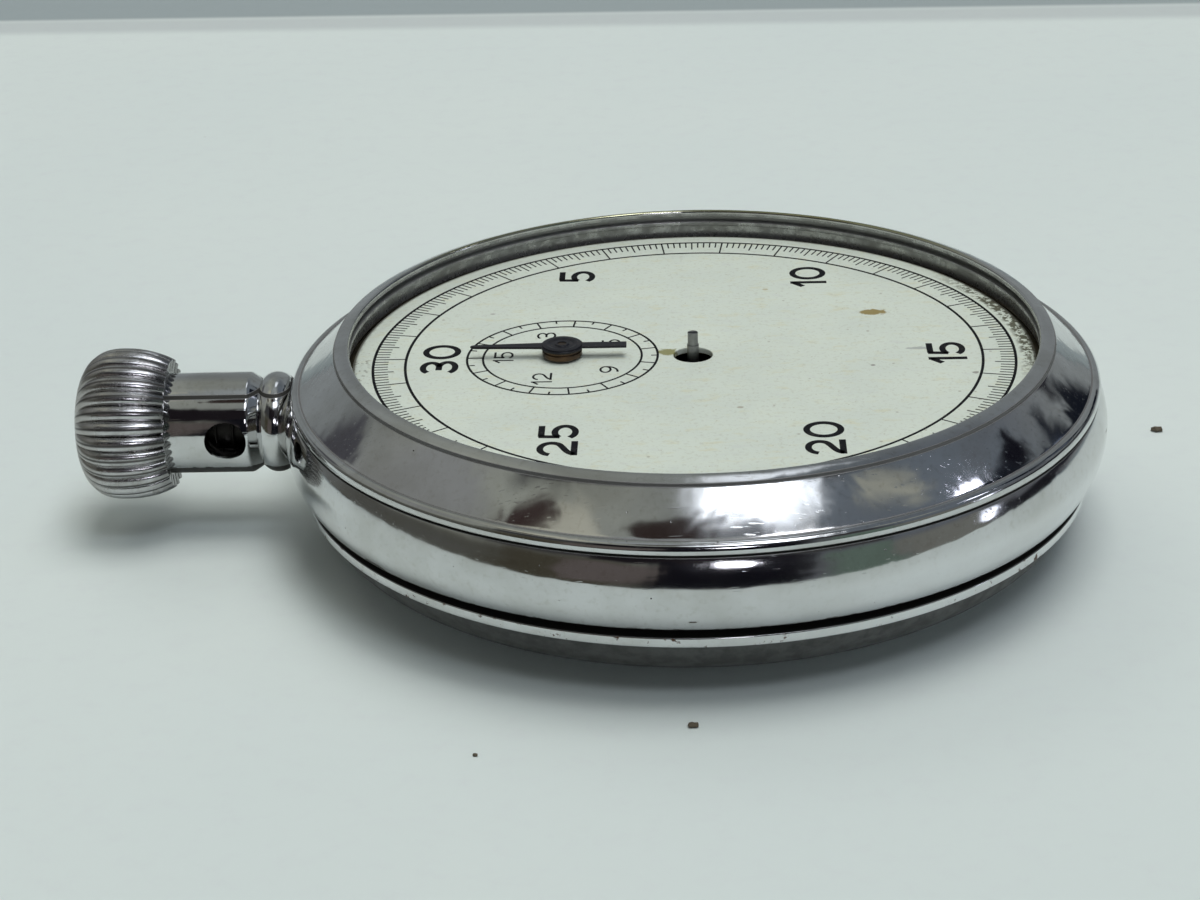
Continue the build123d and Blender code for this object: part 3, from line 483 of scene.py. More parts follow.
def chrome_material():
    """Worn chrome plate of the case: hairlines, pits, haze and dirt in the joints; painted shade in the
    joints, crease, step, inner wall, crystal groove and under the back; a painted brighter reflection on the
    lower band and a painted yellow fringe at the far top edge.
    """
    material, g = new_material("case_chrome")
    spot = g.place()
    x, y, z = g.split(spot)
    radius = g.math("SQRT", g.math("ADD", g.times(x, x), g.times(y, y)))
    haze = g.noise(spot, 0.22, 4, 0.55, 0.3)
    fine = g.noise(spot, 2.4, 5, 0.6)
    hair = g.scratches(spot, 5.0, 0.70)
    pits = g.specks(spot, 1.5, 0.10, 0.12)
    patchy = g.step(g.noise(spot, 0.9, 4, 0.6), 0.35, 0.65)

    outer = g.step(radius, 26.15, 26.4)
    grime = g.noise(spot, 1.3, 4, 0.65)
    bearing = g.times(g.math("ARCTAN2", y, x), 180 / math.pi)
    clump = g.times(g.between(bearing, -140.5, -136.5, 1.2), 0.36)
    edge_low = g.math("ADD", g.math("ADD", BAND_LOW + 0.02, clump), g.times(g.step(grime, 0.45, 0.75), 0.10))
    above_edge = g.math("SUBTRACT", z, edge_low)
    # The dark joints above and below the band are partly dirt and partly painted shade.
    joint_low = g.times(g.step(z, COVER_TOP - 0.06, COVER_TOP), g.step(above_edge, 0.07, 0.0))
    joint_high = g.between(z, BAND_HIGH - 0.06, BEZEL_LOW + 0.03, 0.03)
    joints = g.most(joint_low, g.times(joint_high, outer))
    # Painted shade: dark lines in the crease above the bead and at the step of the bezel.
    crease = g.times(g.between(radius, SLOPE_END[0] - 0.06, SLOPE_END[0] + 0.07, 0.03), g.step(z, 11.1, 11.2))
    step_line = g.times(g.between(radius, STEP_R - 0.06, STEP_R + 0.06, 0.03), g.step(z, 13.4, 13.6))
    # Painted shade: the inner wall of the opening darkened, in patches.
    inner_wall = g.times(
        g.step(radius, WALL_R + 0.15, WALL_R + 0.02), g.step(radius, OPENING_R - 0.18, OPENING_R - 0.08),
        g.step(z, 14.0, 13.85), g.step(z, 11.9, 12.0),
    )
    # Painted shadow in the crystal groove.
    groove = g.times(
        g.step(radius, GROOVE_R + 0.12, GROOVE_R), g.step(radius, 23.02, 23.1),
        g.between(z, GROOVE_LOW - 0.03, GROOVE_HIGH + 0.02, 0.02),
    )
    # This mask holds dirt in the joints and painted shade in the joints, the crease, the step, the inner wall
    # and the groove.
    dirt = g.most(
        joints, g.times(crease, 0.7), g.times(step_line, 0.85),
        g.times(inner_wall, g.blend(patchy, 0.35, 0.65)), g.times(groove, 0.6),
    )
    rust = g.step(g.noise(spot, 1.1, 4, 0.65), 0.60, 0.68)
    rust_zone = g.times(g.step(z, COVER_TOP + 0.02, COVER_TOP - 0.05), rust, outer)
    # Painted colour fringe: a yellow tint on the far top edge standing in for light, not tarnish.
    tarnish = g.times(g.step(z, 14.0, 14.1), g.step(y, 9, 17), 0.75)

    plate = g.mix(g.step(haze, 0.35, 0.7), (0.66, 0.665, 0.67), (0.56, 0.56, 0.55))
    plate = g.mix(g.times(g.step(fine, 0.5, 0.75), 0.35), plate, (0.42, 0.40, 0.36))
    # Painted brighter reflection on the lower band, right of the middle.
    painted_band_reflection = g.times(g.step(x, -2, 14), g.step(z, 8.8, 7.6), 0.6)
    plate = g.mix(painted_band_reflection, plate, (0.82, 0.83, 0.84))
    plate = g.mix(pits, plate, (0.05, 0.04, 0.035))
    plate = g.mix(tarnish, plate, (0.34, 0.33, 0.13))
    plate = g.mix(rust_zone, plate, (0.10, 0.055, 0.03))
    # Dirt and painted shade darken the plate here.
    plate = g.mix(dirt, plate, (0.035, 0.034, 0.03))
    # Painted shade: the back below the rim made nearly black and dull, as if in the table's shadow.
    below_rim = g.times(g.step(z, RIM_LOW - 0.02, RIM_LOW - 0.12), g.step(radius, 22.6, 24.4))
    under = g.times(below_rim, g.blend(patchy, 0.90, 0.97))
    plate = g.mix(under, plate, (0.045, 0.045, 0.042))
    gloss = g.math("ADD", g.blend(g.step(haze, 0.3, 0.75), 0.065, 0.14), g.times(hair, 0.10))
    gloss = g.most(gloss, g.times(under, 0.62))
    gloss = g.most(gloss, g.times(g.most(dirt, rust_zone, pits), 0.55))
    relief = g.math("ADD", g.times(hair, -0.03), g.math("ADD", g.times(pits, -0.22), g.times(fine, 0.012)))
    relief = g.math("ADD", relief, g.noise(spot, 0.30, 2, 0.5, 0.4))
    g.surface(
        base_color=plate, metallic=g.blend(g.most(dirt, rust_zone, under), 1.0, 0.25),
        roughness=gloss, normal=g.bump(relief, 0.05, 0.9),
    )
    return material


def crown_material():
    """Chrome of the crown, dulled at its front and dark between the ridges, with painted shade at its back.
    """
    material, g = new_material("crown_chrome")
    spot = g.place()
    x, y, z = g.split(spot)
    up = g.math("SUBTRACT", z, AXIS_Z)
    radius = g.math("SQRT", g.math("ADD", g.times(y, y), g.times(up, up)))
    worn = g.noise(spot, 0.8, 5, 0.6, 0.4)
    fine = g.noise(spot, 5.0, 4, 0.6)
    hair = g.scratches(spot, 7.0, 0.69)
    front = g.step(x, CROWN_WIDE, CROWN_WIDE - 2)
    angle = g.math("ARCTAN2", y, up)
    ridge = g.math("FRACT", g.math("ADD", g.times(angle, FLUTES / math.tau), 0.5))
    valley = g.step(g.math("ABSOLUTE", g.math("SUBTRACT", ridge, 0.5)), 0.36, 0.48)
    valley = g.times(valley, g.step(radius, 2.4, 3.8))
    tone = g.mix(g.step(worn, 0.4, 0.7), (0.56, 0.555, 0.56), (0.38, 0.37, 0.36))
    tone = g.mix(g.times(front, 0.75), tone, (0.42, 0.40, 0.38))
    # Painted shade: the back of the crown, next to the tube, darkened.
    tone = g.mix(g.times(g.step(x, -36.9, -35.8), 0.6), tone, (0.14, 0.135, 0.13))
    tone = g.mix(g.times(valley, 0.9), tone, (0.04, 0.037, 0.033))
    rough = g.math("ADD", g.blend(front, 0.20, 0.34), g.times(g.step(worn, 0.4, 0.7), 0.09))
    rough = g.math("ADD", rough, g.times(hair, 0.12))
    relief = g.math("ADD", g.times(fine, 0.5), g.times(hair, -0.4))
    g.surface(
        base_color=tone, metallic=g.blend(valley, 1.0, 0.6), roughness=rough,
        normal=g.bump(relief, 0.012, 0.7),
    )
    return material


# Marks on the dial: x, y, half length, half width, colour.
DIAL_MARKS = [
    (12.54, 7.12, 0.95, 0.50, (0.27, 0.19, 0.03)),
    (-1.75, 0.50, 0.70, 0.62, (0.24, 0.23, 0.07)),
    (15.2, 0.45, 0.85, 0.22, (0.42, 0.45, 0.42)),
    (11.95, -2.36, 0.16, 0.16, (0.22, 0.21, 0.18)),
    (18.6, -3.9, 0.2, 0.2, (0.3, 0.3, 0.26)),
    (3.0, -9.0, 0.22, 0.14, (0.40, 0.38, 0.30)),
    (-14.0, 8.0, 0.2, 0.16, (0.42, 0.42, 0.38)),
    (5.2, 11.8, 0.24, 0.18, (0.50, 0.47, 0.30)),
]


def dial_material():
    """Old cream paint with faint yellowing, dust specks, a few stains and dirt at the rim, with painted shade
    where the case wall meets the dial.
    """
    material, g = new_material("dial_paint")
    spot = g.place()
    x, y = g.split(spot)[:2]
    radius = g.math("SQRT", g.math("ADD", g.times(x, x), g.times(y, y)))
    cloud = g.noise(spot, 0.16, 5, 0.55)
    mottle = g.noise(g.turned(spot, (0, 0, 0), (0.6, 1.2, 1)), 0.9, 6, 0.65)
    ragged = g.noise(spot, 2.2, 4, 0.6)
    paint = g.mix(g.step(cloud, 0.3, 0.7), (0.70, 0.765, 0.67), (0.66, 0.725, 0.645))
    paint = g.mix(g.times(g.step(mottle, 0.52, 0.72), 0.6), paint, (0.66, 0.66, 0.47))
    paint = g.mix(g.times(g.step(mottle, 0.46, 0.28), 0.4), paint, (0.60, 0.64, 0.60))
    speckle = g.step(g.noise(spot, 3.2, 3, 0.7), 0.52, 0.68)
    paint = g.mix(g.times(speckle, 0.42), paint, (0.50, 0.52, 0.42))
    dust = g.specks(spot, 0.75, 0.11, 0.30)
    paint = g.mix(g.times(dust, 0.65), paint, (0.34, 0.33, 0.26))
    fine_dust = g.specks(spot, 2.0, 0.16, 0.16)
    paint = g.mix(g.times(fine_dust, 0.55), paint, (0.42, 0.40, 0.28))
    smudge = g.step(g.noise(g.turned(spot, (0, 0, 20), (0.5, 1.3, 1)), 1.6, 5, 0.7), 0.63, 0.72)
    paint = g.mix(g.times(smudge, 0.35), paint, (0.45, 0.46, 0.36))
    for mark_x, mark_y, length, width, tone in DIAL_MARKS:
        across = g.times(g.math("SUBTRACT", x, mark_x), 1 / length)
        along = g.times(g.math("SUBTRACT", y, mark_y), 1 / width)
        away = g.math("SQRT", g.math("ADD", g.times(across, across), g.times(along, along)))
        away = g.math("ADD", away, g.times(g.math("SUBTRACT", ragged, 0.5), 1.6))
        paint = g.mix(g.times(g.step(away, 1.15, 0.75), 0.9), paint, tone)
    angle = g.times(g.math("ARCTAN2", y, x), 180 / math.pi)
    margin = g.times(g.step(radius, 21.75, 22.2), g.between(angle, -8, 34, 8))
    crust = g.times(margin, g.step(g.noise(spot, 2.6, 3, 0.6), 0.47, 0.52))
    paint = g.mix(g.times(crust, 0.9), paint, (0.055, 0.05, 0.02))
    dusty = g.times(g.step(radius, 21.6, 22.3), g.step(angle, -166, -173))
    grains = g.step(g.noise(spot, 2.4, 3, 0.6), 0.56, 0.62)
    paint = g.mix(g.times(dusty, grains, 0.75), paint, (0.14, 0.13, 0.08))
    # Darker ring at the dial's edge: partly dirt, and a sharp painted shade line where the case wall meets
    # the dial.
    rim = g.times(g.step(radius, 22.55, 22.9), g.step(g.noise(spot, 1.4, 4, 0.6), 0.38, 0.6))
    rim = g.most(g.times(rim, 0.75), g.times(g.step(radius, 22.68, 22.84), 0.9))
    paint = g.mix(rim, paint, (0.07, 0.065, 0.05))
    relief = g.math("ADD", g.times(g.noise(spot, 3.5, 3, 0.5), 0.5), g.times(g.most(dust, crust), 1.2))
    g.surface(
        base_color=paint, roughness=g.blend(g.step(mottle, 0.3, 0.7), 0.38, 0.52),
        normal=g.bump(relief, 0.012, 0.6), specular_ior_level=0.35,
    )
    return material


def ink_material():
    """Black printing ink with worn, slightly grey patches."""
    material, g = new_material("dial_ink")
    spot = g.place()
    wear = g.noise(spot, 2.5, 5, 0.65)
    tone = g.mix(g.step(wear, 0.5, 0.8), (0.008, 0.008, 0.010), (0.05, 0.05, 0.045))
    g.surface(
        base_color=tone, roughness=g.blend(wear, 0.5, 0.75), normal=g.bump(wear, 0.006, 0.5),
        specular_ior_level=0.12,
    )
    return material


def painted_hand_material():
    """Black lacquer with dust and rubbed edges."""
    material, g = new_material("hand_lacquer")
    spot = g.place()
    wear = g.noise(spot, 3.0, 5, 0.6)
    dust = g.specks(spot, 4.0, 0.16, 0.12)
    tone = g.mix(g.step(wear, 0.5, 0.8), (0.010, 0.010, 0.014), (0.035, 0.03, 0.03))
    tone = g.mix(g.times(dust, 0.6), tone, (0.24, 0.21, 0.15))
    g.surface(
        base_color=tone, roughness=g.blend(wear, 0.25, 0.48), normal=g.bump(wear, 0.01, 0.5),
        specular_ior_level=0.3,
    )
    return material


def metal_material(name, bright, dull, rough, grain=(1, 1, 1), tint=None):
    """Machined metal with grain, tarnish and hairlines."""
    material, g = new_material(name)
    spot = g.place()
    tarnish = g.noise(spot, 0.7, 5, 0.6, 0.3)
    lines = g.noise(g.turned(spot, (0, 0, 0), grain), 6.0, 3, 0.5)
    hair = g.scratches(spot, 8.0, 0.70)
    tone = g.mix(g.step(tarnish, 0.35, 0.7), bright, dull)
    if tint:
        tone = g.mix(g.times(g.specks(spot, 2.0, 0.2, 0.15), 0.7), tone, tint)
    relief = g.math("ADD", lines, g.times(hair, -0.5))
    g.surface(
        base_color=tone, metallic=1.0, normal=g.bump(relief, 0.008, 0.6),
        roughness=g.math("ADD", g.blend(tarnish, rough, rough + 0.14), g.times(hair, 0.1)),
    )
    return material


def ruby_material():
    """Clear red bearing stone."""
    material, g = new_material("bearing_ruby")
    spot = g.place()
    veil = g.noise(spot, 3.0, 4, 0.5)
    tone = g.mix(veil, (0.55, 0.02, 0.06), (0.38, 0.01, 0.05))
    g.surface(base_color=tone, roughness=g.blend(veil, 0.04, 0.12), transmission_weight=0.35, ior=1.76)
    return material


def table_material():
    """Pale matt table top that ends far behind the watch in a blue-grey edge, with a painted soft shadow just
    before the edge.
    """
    material, g = new_material("table_top")
    spot = g.place()
    x, y = g.split(spot)[:2]
    cloud = g.noise(spot, 0.012, 4, 0.5)
    grain = g.noise(spot, 0.5, 5, 0.6)
    tone = g.mix(g.step(cloud, 0.3, 0.7), (0.73, 0.80, 0.765), (0.70, 0.775, 0.75))
    tone = g.mix(g.times(g.step(grain, 0.45, 0.8), 0.25), tone, (0.66, 0.69, 0.70))
    tone = g.mix(g.times(g.specks(spot, 0.09, 0.03, 0.3), 0.5), tone, (0.45, 0.45, 0.42))
    edge_y = g.math("ADD", y, g.times(x, 0.025))
    # Painted soft shadow: a darker band just before the blue-grey edge.
    tone = g.mix(g.times(g.between(edge_y, 122.5, 127.5, 1.4), 0.45), tone, (0.40, 0.43, 0.44))
    tone = g.mix(g.step(edge_y, 127.0, 128.5), tone, (0.345, 0.40, 0.405))
    g.surface(
        base_color=tone, roughness=g.blend(grain, 0.5, 0.7), normal=g.bump(grain, 0.03, 0.4),
        specular_ior_level=0.25,
    )
    return material


def crumb_material():
    """Dry brown dirt."""
    material, g = new_material("crumb")
    grain = g.noise(g.place(), 5.0, 4, 0.6)
    tone = g.mix(grain, (0.05, 0.045, 0.03), (0.16, 0.13, 0.09))
    g.surface(base_color=tone, roughness=0.8, normal=g.bump(grain, 0.05))
    return material


CHROME = chrome_material()
CROWN_CHROME = crown_material()
DIAL_PAINT = dial_material()
INK = ink_material()
HAND_LACQUER = painted_hand_material()
GILT = metal_material(
    "gilt_brass", (0.80, 0.62, 0.30), (0.62, 0.46, 0.21),
    0.24, (1, 8, 1), (0.30, 0.20, 0.08),
)
STEEL = metal_material(
    "movement_steel", (0.55, 0.55, 0.56), (0.38, 0.37, 0.36),
    0.22, (1, 1, 9), (0.16, 0.10, 0.07),
)
BLUED = metal_material("screw_steel", (0.16, 0.20, 0.36), (0.30, 0.29, 0.30), 0.20, (6, 1, 1))
COLLET = metal_material(
    "collet_brass", (0.13, 0.08, 0.045), (0.07, 0.05, 0.04),
    0.22, (1, 1, 9), (0.05, 0.04, 0.03),
)
ARBOR = metal_material("arbor_steel", (0.30, 0.30, 0.30), (0.17, 0.17, 0.18), 0.24, (0.2, 0.2, 6))
OILED = metal_material(
    "oiled_steel", (0.030, 0.028, 0.026), (0.014, 0.013, 0.012),
    0.42, (1, 1, 1), (0.03, 0.02, 0.012),
)
AGED_GILT = metal_material(
    "aged_gilt", (0.22, 0.18, 0.11), (0.14, 0.115, 0.075),
    0.34, (1, 8, 1), (0.08, 0.06, 0.03),
)
RUBY = ruby_material()


# ======== case ========

AROUND = 448


def make_bezel():
    slope = arc((STEP_R, STEP_Z - STEP_DEPTH), SLOPE_MIDDLE, SLOPE_END, 14, fillet=0.04)
    bead = arc((SLOPE_END[0] + 0.07, BEAD_HIGH), (BEZEL_R, BEAD_WIDE_Z), (BEZEL_R - 0.06, BEZEL_LOW), 10)
    corners = [
        (OPENING_R, BEZEL_TOP, 0.16), (STEP_R, STEP_Z, 0.08), *slope, *bead,
        (NECK_R + RIM_GAP, BEZEL_LOW, 0.03), (NECK_R + RIM_GAP, BAND_TOP, 0.03),
        (WALL_R, BAND_TOP, 0.03), (WALL_R, SEAT_LOW, 0.03), (OPENING_R, SEAT_HIGH, 0.04),
        (OPENING_R, GROOVE_LOW, 0.04), (GROOVE_R, GROOVE_LOW + 0.05, 0), (GROOVE_R, GROOVE_HIGH - 0.1, 0),
        (OPENING_R, GROOVE_HIGH, 0.04),
    ]
    ring = bare("bezel_ring", spin(rounded(corners), AROUND))
    return finish_piece(ring, CHROME, "case", ["bezel"])


def make_band():
    bulge = arc((BAND_LOW_R, BAND_LOW), (BAND_R, BAND_WIDE_Z), (BAND_HIGH_R, BAND_HIGH), 22, fillet=0.14)
    corners = [
        *bulge, (NECK_R, BAND_HIGH, 0), (NECK_R, BAND_TOP, 0.05), (LEDGE_WALL_R, BAND_TOP, 0.04),
        (LEDGE_WALL_R, LEDGE_TOP, 0), (LEDGE_R, LEDGE_TOP, 0.04), (LEDGE_R, LEDGE_LOW, 0.04),
        (BAND_INNER_R, LEDGE_LOW, 0), (BAND_INNER_R, BAND_BOTTOM, 0.04),
        (NECK_R, BAND_BOTTOM, 0.05), (NECK_R, BAND_LOW, 0),
    ]
    band = bare("middle_band", spin(rounded(corners), AROUND))
    cut(band, spin(rounded([(0, -30, 0), *bead_corners(), (0, -22, 0)]), 96, lying))
    cut(band, rod(SLEEVE_HOLE_R, -26, -20, 64, lying))
    cut(band, brick(*LEDGE_SLOT))
    return finish_piece(band, CHROME, "case", ["case_band"])


def make_back():
    turn, inner_turn = (21.0, 0.75), (20.8, 1.55)
    side = arc((COVER_STEP_R, RIM_LOW - 0.06), (24.8, 1.95), turn, 12)
    under = arc(turn, (16.6, 0.2), (BACK_REST_R, 0), 10)
    inside = arc((BACK_REST_R, BACK_WALL), (16.6, 1.0), inner_turn, 10)
    inner_side = arc(inner_turn, (24.1, 2.6), (NECK_R, BACK_INNER_TOP), 10)
    corners = [
        (NECK_R + RIM_GAP, COVER_TOP, 0.03), (COVER_R, COVER_TOP, 0.1), (COVER_R - 0.08, RIM_LOW, 0.12),
        *side, *under[1:], (0, 0, 0), (0, BACK_WALL, 0), *inside, *inner_side[1:-1],
        (NECK_R + RIM_GAP, BACK_INNER_TOP, 0),
    ]
    shell = bare("back_shell", spin(rounded(corners), AROUND))
    return finish_piece(shell, CHROME, "case", ["back_cover"])


# ======== pendant and crown ========

def bead_corners():
    """Outside of the tube from its waist to its inner end, as (radius, x)."""
    bead = arc((WAIST_R, BEAD_X - BEAD_HALF), (BEAD_R, BEAD_X), (WAIST_R, BEAD_X + BEAD_HALF), 18)
    return [*bead, (SPIGOT_R, SPIGOT_X, 0), (SPIGOT_R, TUBE_IN, 0.03)]


def make_tube():
    corners = [
        (TUBE_BORE_R, TUBE_OUT, 0.08), (TUBE_R, TUBE_OUT, 0.12), (TUBE_R, TUBE_SHOULDER, 0.55),
        *bead_corners(), (SLEEVE_HOLE_R, TUBE_IN, 0.03), (SLEEVE_HOLE_R, TUBE_BORE_END, 0),
        (TUBE_BORE_R, TUBE_BORE_END, 0),
    ]
    tube = bare("pendant", spin(rounded(corners, 6), 160, lying))
    hole_x, hole_r = BOW_HOLE
    for side in (-1, 1):
        chamfer = [
            (0, side * 1.9), (hole_r, side * 1.9), (hole_r, side * 3.02),
            (hole_r + COUNTERSINK, side * 3.30), (hole_r + COUNTERSINK, side * 3.8), (0, side * 3.8),
        ]
        shape = spin(chamfer, 96, lambda radius, angle, along: (
            hole_x + radius * math.cos(angle), along, AXIS_Z + radius * math.sin(angle)))
        cut(tube, shape)
    return finish_piece(tube, CHROME, "case", ["pendant_tube"])


FLUTE_STEPS = 16
FLUTE_DEPTH = 0.42
FLUTE_ARC = 0.985
FLUTE_START_R = 2.7
FLUTE_FADE = 2.4


def ridge_depth(share):
    """Depth below the ridge tops across one flute, from 0 half way along it to 1 at its ends."""
    away = abs(share - 0.5) * 2 * FLUTE_ARC
    return (1 - math.sqrt(1 - away * away)) / (1 - math.sqrt(1 - FLUTE_ARC**2))


def make_crown():
    flat, wide = (CROWN_FLAT_R, CROWN_TIP), (CROWN_R, CROWN_WIDE)
    nose = curve(flat, (3.4, CROWN_TIP + 0.05), (CROWN_R - 0.1, -41.3), wide, 30)
    back = curve(wide, (CROWN_R + 0.06, -37.9), (4.95, -36.5), (CROWN_BACK_R, CROWN_END), 22)
    outside = [Vector((share * CROWN_FLAT_R, CROWN_TIP)) for share in (0, 0.5, 1)] + nose + back
    rest = rounded([
        (CROWN_HOLLOW_R, CROWN_END, 0.08), (CROWN_HOLLOW_R, CROWN_HOLLOW_X, 0.05),
        (STEM_HOLE_R, CROWN_HOLLOW_X, 0), (STEM_HOLE_R, STEM_OUT, 0), (0, STEM_OUT, 0),
    ])
    outline = outside + rest
    turns = FLUTES * FLUTE_STEPS
    verts, faces = spin([tuple(point) for point in outline], turns, lying)
    index = 0
    for step, point in enumerate(outline):
        if point.x < 1e-6:
            index += 1
            continue
        if step < len(outside):
            ahead, behind = outline[step + 1], outline[step - 1]
            if step == len(outside) - 1:
                ahead = point + (point - behind)
            along = (ahead - behind).normalized()
            normal = Vector((along.y, -along.x))
            fade = min(1, max(0, (point.x - FLUTE_START_R) / FLUTE_FADE)) if point.y < CROWN_WIDE else 1
            depth = FLUTE_DEPTH * fade * fade * (3 - 2 * fade)
            for turn in range(turns):
                flute, share = turn // FLUTE_STEPS, (turn % FLUTE_STEPS) / FLUTE_STEPS
                uneven = 1 + 0.10 * math.sin(flute * 2.4) + 0.06 * math.sin(flute * 5.3 + point.y * 1.5)
                sunk = depth * uneven * ridge_depth(share)
                moved = point - normal * sunk
                verts[index + turn] = lying(moved.x, math.tau * turn / turns, moved.y)
        index += turns
    return finish_piece(bare("fluted_crown", (verts, faces)), CROWN_CHROME, "crown", ["crown"])


# ======== dial ========

def make_dial():
    plate = [
        (DIAL_HOLE_R, DIAL_LOW, 0.02), (DIAL_R, DIAL_LOW, 0.05), (DIAL_R, DIAL_Z, 0.08),
        (DIAL_HOLE_R, DIAL_Z, 0.07),
    ]
    dial = bare("dial_plate", spin(rounded(plate), 256))
    cut(dial, spin([(0, 11), (0.6, 11), (0.6, 13), (0, 13)], 48, lambda r, a, h: upright(r, a, h, MINUTE)))
    feet = []
    for bearing in (35, -145):
        turn = math.radians(bearing)
        at = (FOOT_PLACE_R * math.cos(turn), FOOT_PLACE_R * math.sin(turn))
        foot_top = DIAL_LOW - 0.01
        stem = rounded([
            (0, DIAL_UNDER, 0), (FOOT_R, DIAL_UNDER, 0.06), (FOOT_R, foot_top, 0), (0, foot_top, 0),
        ])
        feet.append(spin(stem, 32, lambda r, a, h, at=at: upright(r, a, h, at)))
    whole = bmesh.new()
    whole.from_mesh(dial.data)
    extra = bpy.data.meshes.new("feet")
    verts, faces = merge(feet)
    extra.from_pydata(verts, [], faces)
    whole.from_mesh(extra)
    bmesh.ops.recalc_face_normals(whole, faces=whole.faces)
    whole.to_mesh(dial.data)
    whole.free()
    return finish_piece(dial, DIAL_PAINT, "case", ["dial"])


INK_LOW = DIAL_Z - 0.004
INK_HIGH = DIAL_Z + INK_DEPTH


def ring_line(radius, width, at=(0, 0), turns=256):
    inner, outer = radius - width / 2, radius + width / 2
    outline = [(inner, INK_LOW), (outer, INK_LOW), (outer, INK_HIGH), (inner, INK_HIGH)]
    return spin(outline, turns, lambda r, a, h: upright(r, a, h, at))


def tick(start_r, end_r, degrees, width, at=(0, 0)):
    """Radial mark; degrees run clockwise from the crown's side."""
    turn = math.radians(180 - degrees)
    along = Vector((math.cos(turn), math.sin(turn)))
    centre = Vector(at)
    return ribbon([centre + along * start_r, centre + along * end_r], width, INK_LOW, INK_HIGH)


def make_seconds_scale():
    """Thirty seconds in tenths: 300 marks between two circles."""
    shapes = [ring_line(SECONDS_OUTER, 0.19), ring_line(SECONDS_INNER, 0.19)]
    span = SECONDS_OUTER - SECONDS_INNER
    for tenth in range(300):
        if tenth % 10 == 0:
            reach, width = span, 0.11
        elif tenth % 5 == 0:
            reach, width = 0.64 * span, 0.10
        else:
            reach, width = 0.46 * span, 0.10
        shapes.append(tick(SECONDS_OUTER, SECONDS_OUTER - reach, tenth * 1.2, width))
    return finish_piece(bare("seconds_scale", merge(shapes)), INK, "case")


def make_minutes_scale():
    """Fifteen minutes in halves."""
    shapes = [ring_line(MINUTES_OUTER, 0.16, MINUTE, 160), ring_line(MINUTES_INNER, 0.15, MINUTE, 160)]
    span = MINUTES_OUTER - MINUTES_INNER
    for half in range(30):
        reach = span if half % 2 == 0 else 0.42 * span
        shapes.append(tick(MINUTES_OUTER, MINUTES_OUTER - reach, half * 12, 0.12, MINUTE))
    return finish_piece(bare("minutes_scale", merge(shapes)), INK, "case")


def bow(centre, reach, start, end, steps=22):
    """Points of an elliptical arc between two angles in degrees."""
    turns = [math.radians(start + (end - start) * step / steps) for step in range(steps + 1)]
    return [(centre[0] + reach[0] * math.cos(turn), centre[1] + reach[1] * math.sin(turn)) for turn in turns]


def loop(centre, reach, steps=40):
    return bow(centre, reach, 0, 360 - 360 / steps, steps - 1)


def sweep_line(*corners):
    return [corners[0]] + [tuple(point) for point in curve(*corners, 14)]


SIX = [
    (loop((0.43, 0.32), (0.34, 0.24)), True),
    (sweep_line((0.09, 0.32), (0.06, 0.66), (0.34, 0.92), (0.72, 0.90)), False),
]

# Each digit: its width and its strokes, in units of its height. True marks a closed stroke.
DIGITS = {
    "0": (0.96, [(loop((0.48, 0.5), (0.40, 0.42), 56), True)]),
    "1": (0.44, [([(0.36, 0.0), (0.36, 1.0)], False), ([(0.36, 0.93), (0.07, 0.66)], False)]),
    "2": (0.84, [
        (
            bow((0.41, 0.645), (0.335, 0.275), 172, -28)
            + sweep_line((0.70, 0.50), (0.60, 0.35), (0.12, 0.30), (0.09, 0.06)), False,
        ),
        ([(0.02, 0.08), (0.84, 0.08)], False),
    ]),
    "3": (0.84, [
        (bow((0.40, 0.71), (0.33, 0.21), 158, -78), False),
        (bow((0.41, 0.295), (0.35, 0.215), 82, -158), False),
        ([(0.24, 0.505), (0.50, 0.505)], False),
    ]),
    "5": (0.84, [
        ([(0.80, 0.92), (0.16, 0.92)], False), ([(0.165, 0.98), (0.13, 0.46)], False),
        (bow((0.41, 0.335), (0.36, 0.255), 143, -152), False),
    ]),
    "6": (0.84, SIX),
    "9": (0.84, [([(0.84 - a, 1 - b) for a, b in stroke], closed) for stroke, closed in SIX]),
}
DIGIT_GAP = 0.14


def number(text, centre, height, weight):
    """A number whose top points at the crown and which reads towards +Y."""
    width = sum(DIGITS[digit][0] for digit in text) + DIGIT_GAP * (len(text) - 1)
    start = -width / 2
    shapes = []
    for digit in text:
        advance, strokes = DIGITS[digit]
        for stroke, closed in strokes:
            points = [(centre[0] - (b - 0.5) * height, centre[1] + (start + a) * height) for a, b in stroke]
            shapes.append(ribbon(points, weight * height, INK_LOW, INK_HIGH, closed))
        start += advance + DIGIT_GAP
    return shapes


# The big numbers and where their middles stand; they were placed one by one, so not on one circle.
SECONDS_NUMBERS = [
    (30, (-17.05, -0.1)), (5, (-8.3, 14.95)), (10, (8.3, 14.1)),
    (15, (17.0, -0.5)), (20, (8.2, -13.95)), (25, (-8.6, -13.7)),
]


def make_numerals():
    shapes = []
    for value, centre in SECONDS_NUMBERS:
        shapes += number(str(value), centre, NUMERAL_HEIGHT, NUMERAL_WEIGHT)
    for value in (3, 6, 9, 12, 15):
        turn = math.radians(180 - value * 24)
        centre = upright(MINUTE_NUMERALS_R, turn, 0, MINUTE)[:2]
        shapes += number(str(value), centre, MINUTE_NUMERAL_HEIGHT, MINUTE_NUMERAL_WEIGHT)
    return finish_piece(bare("dial_numerals", merge(shapes)), INK, "case")


# ======== minute hand ========

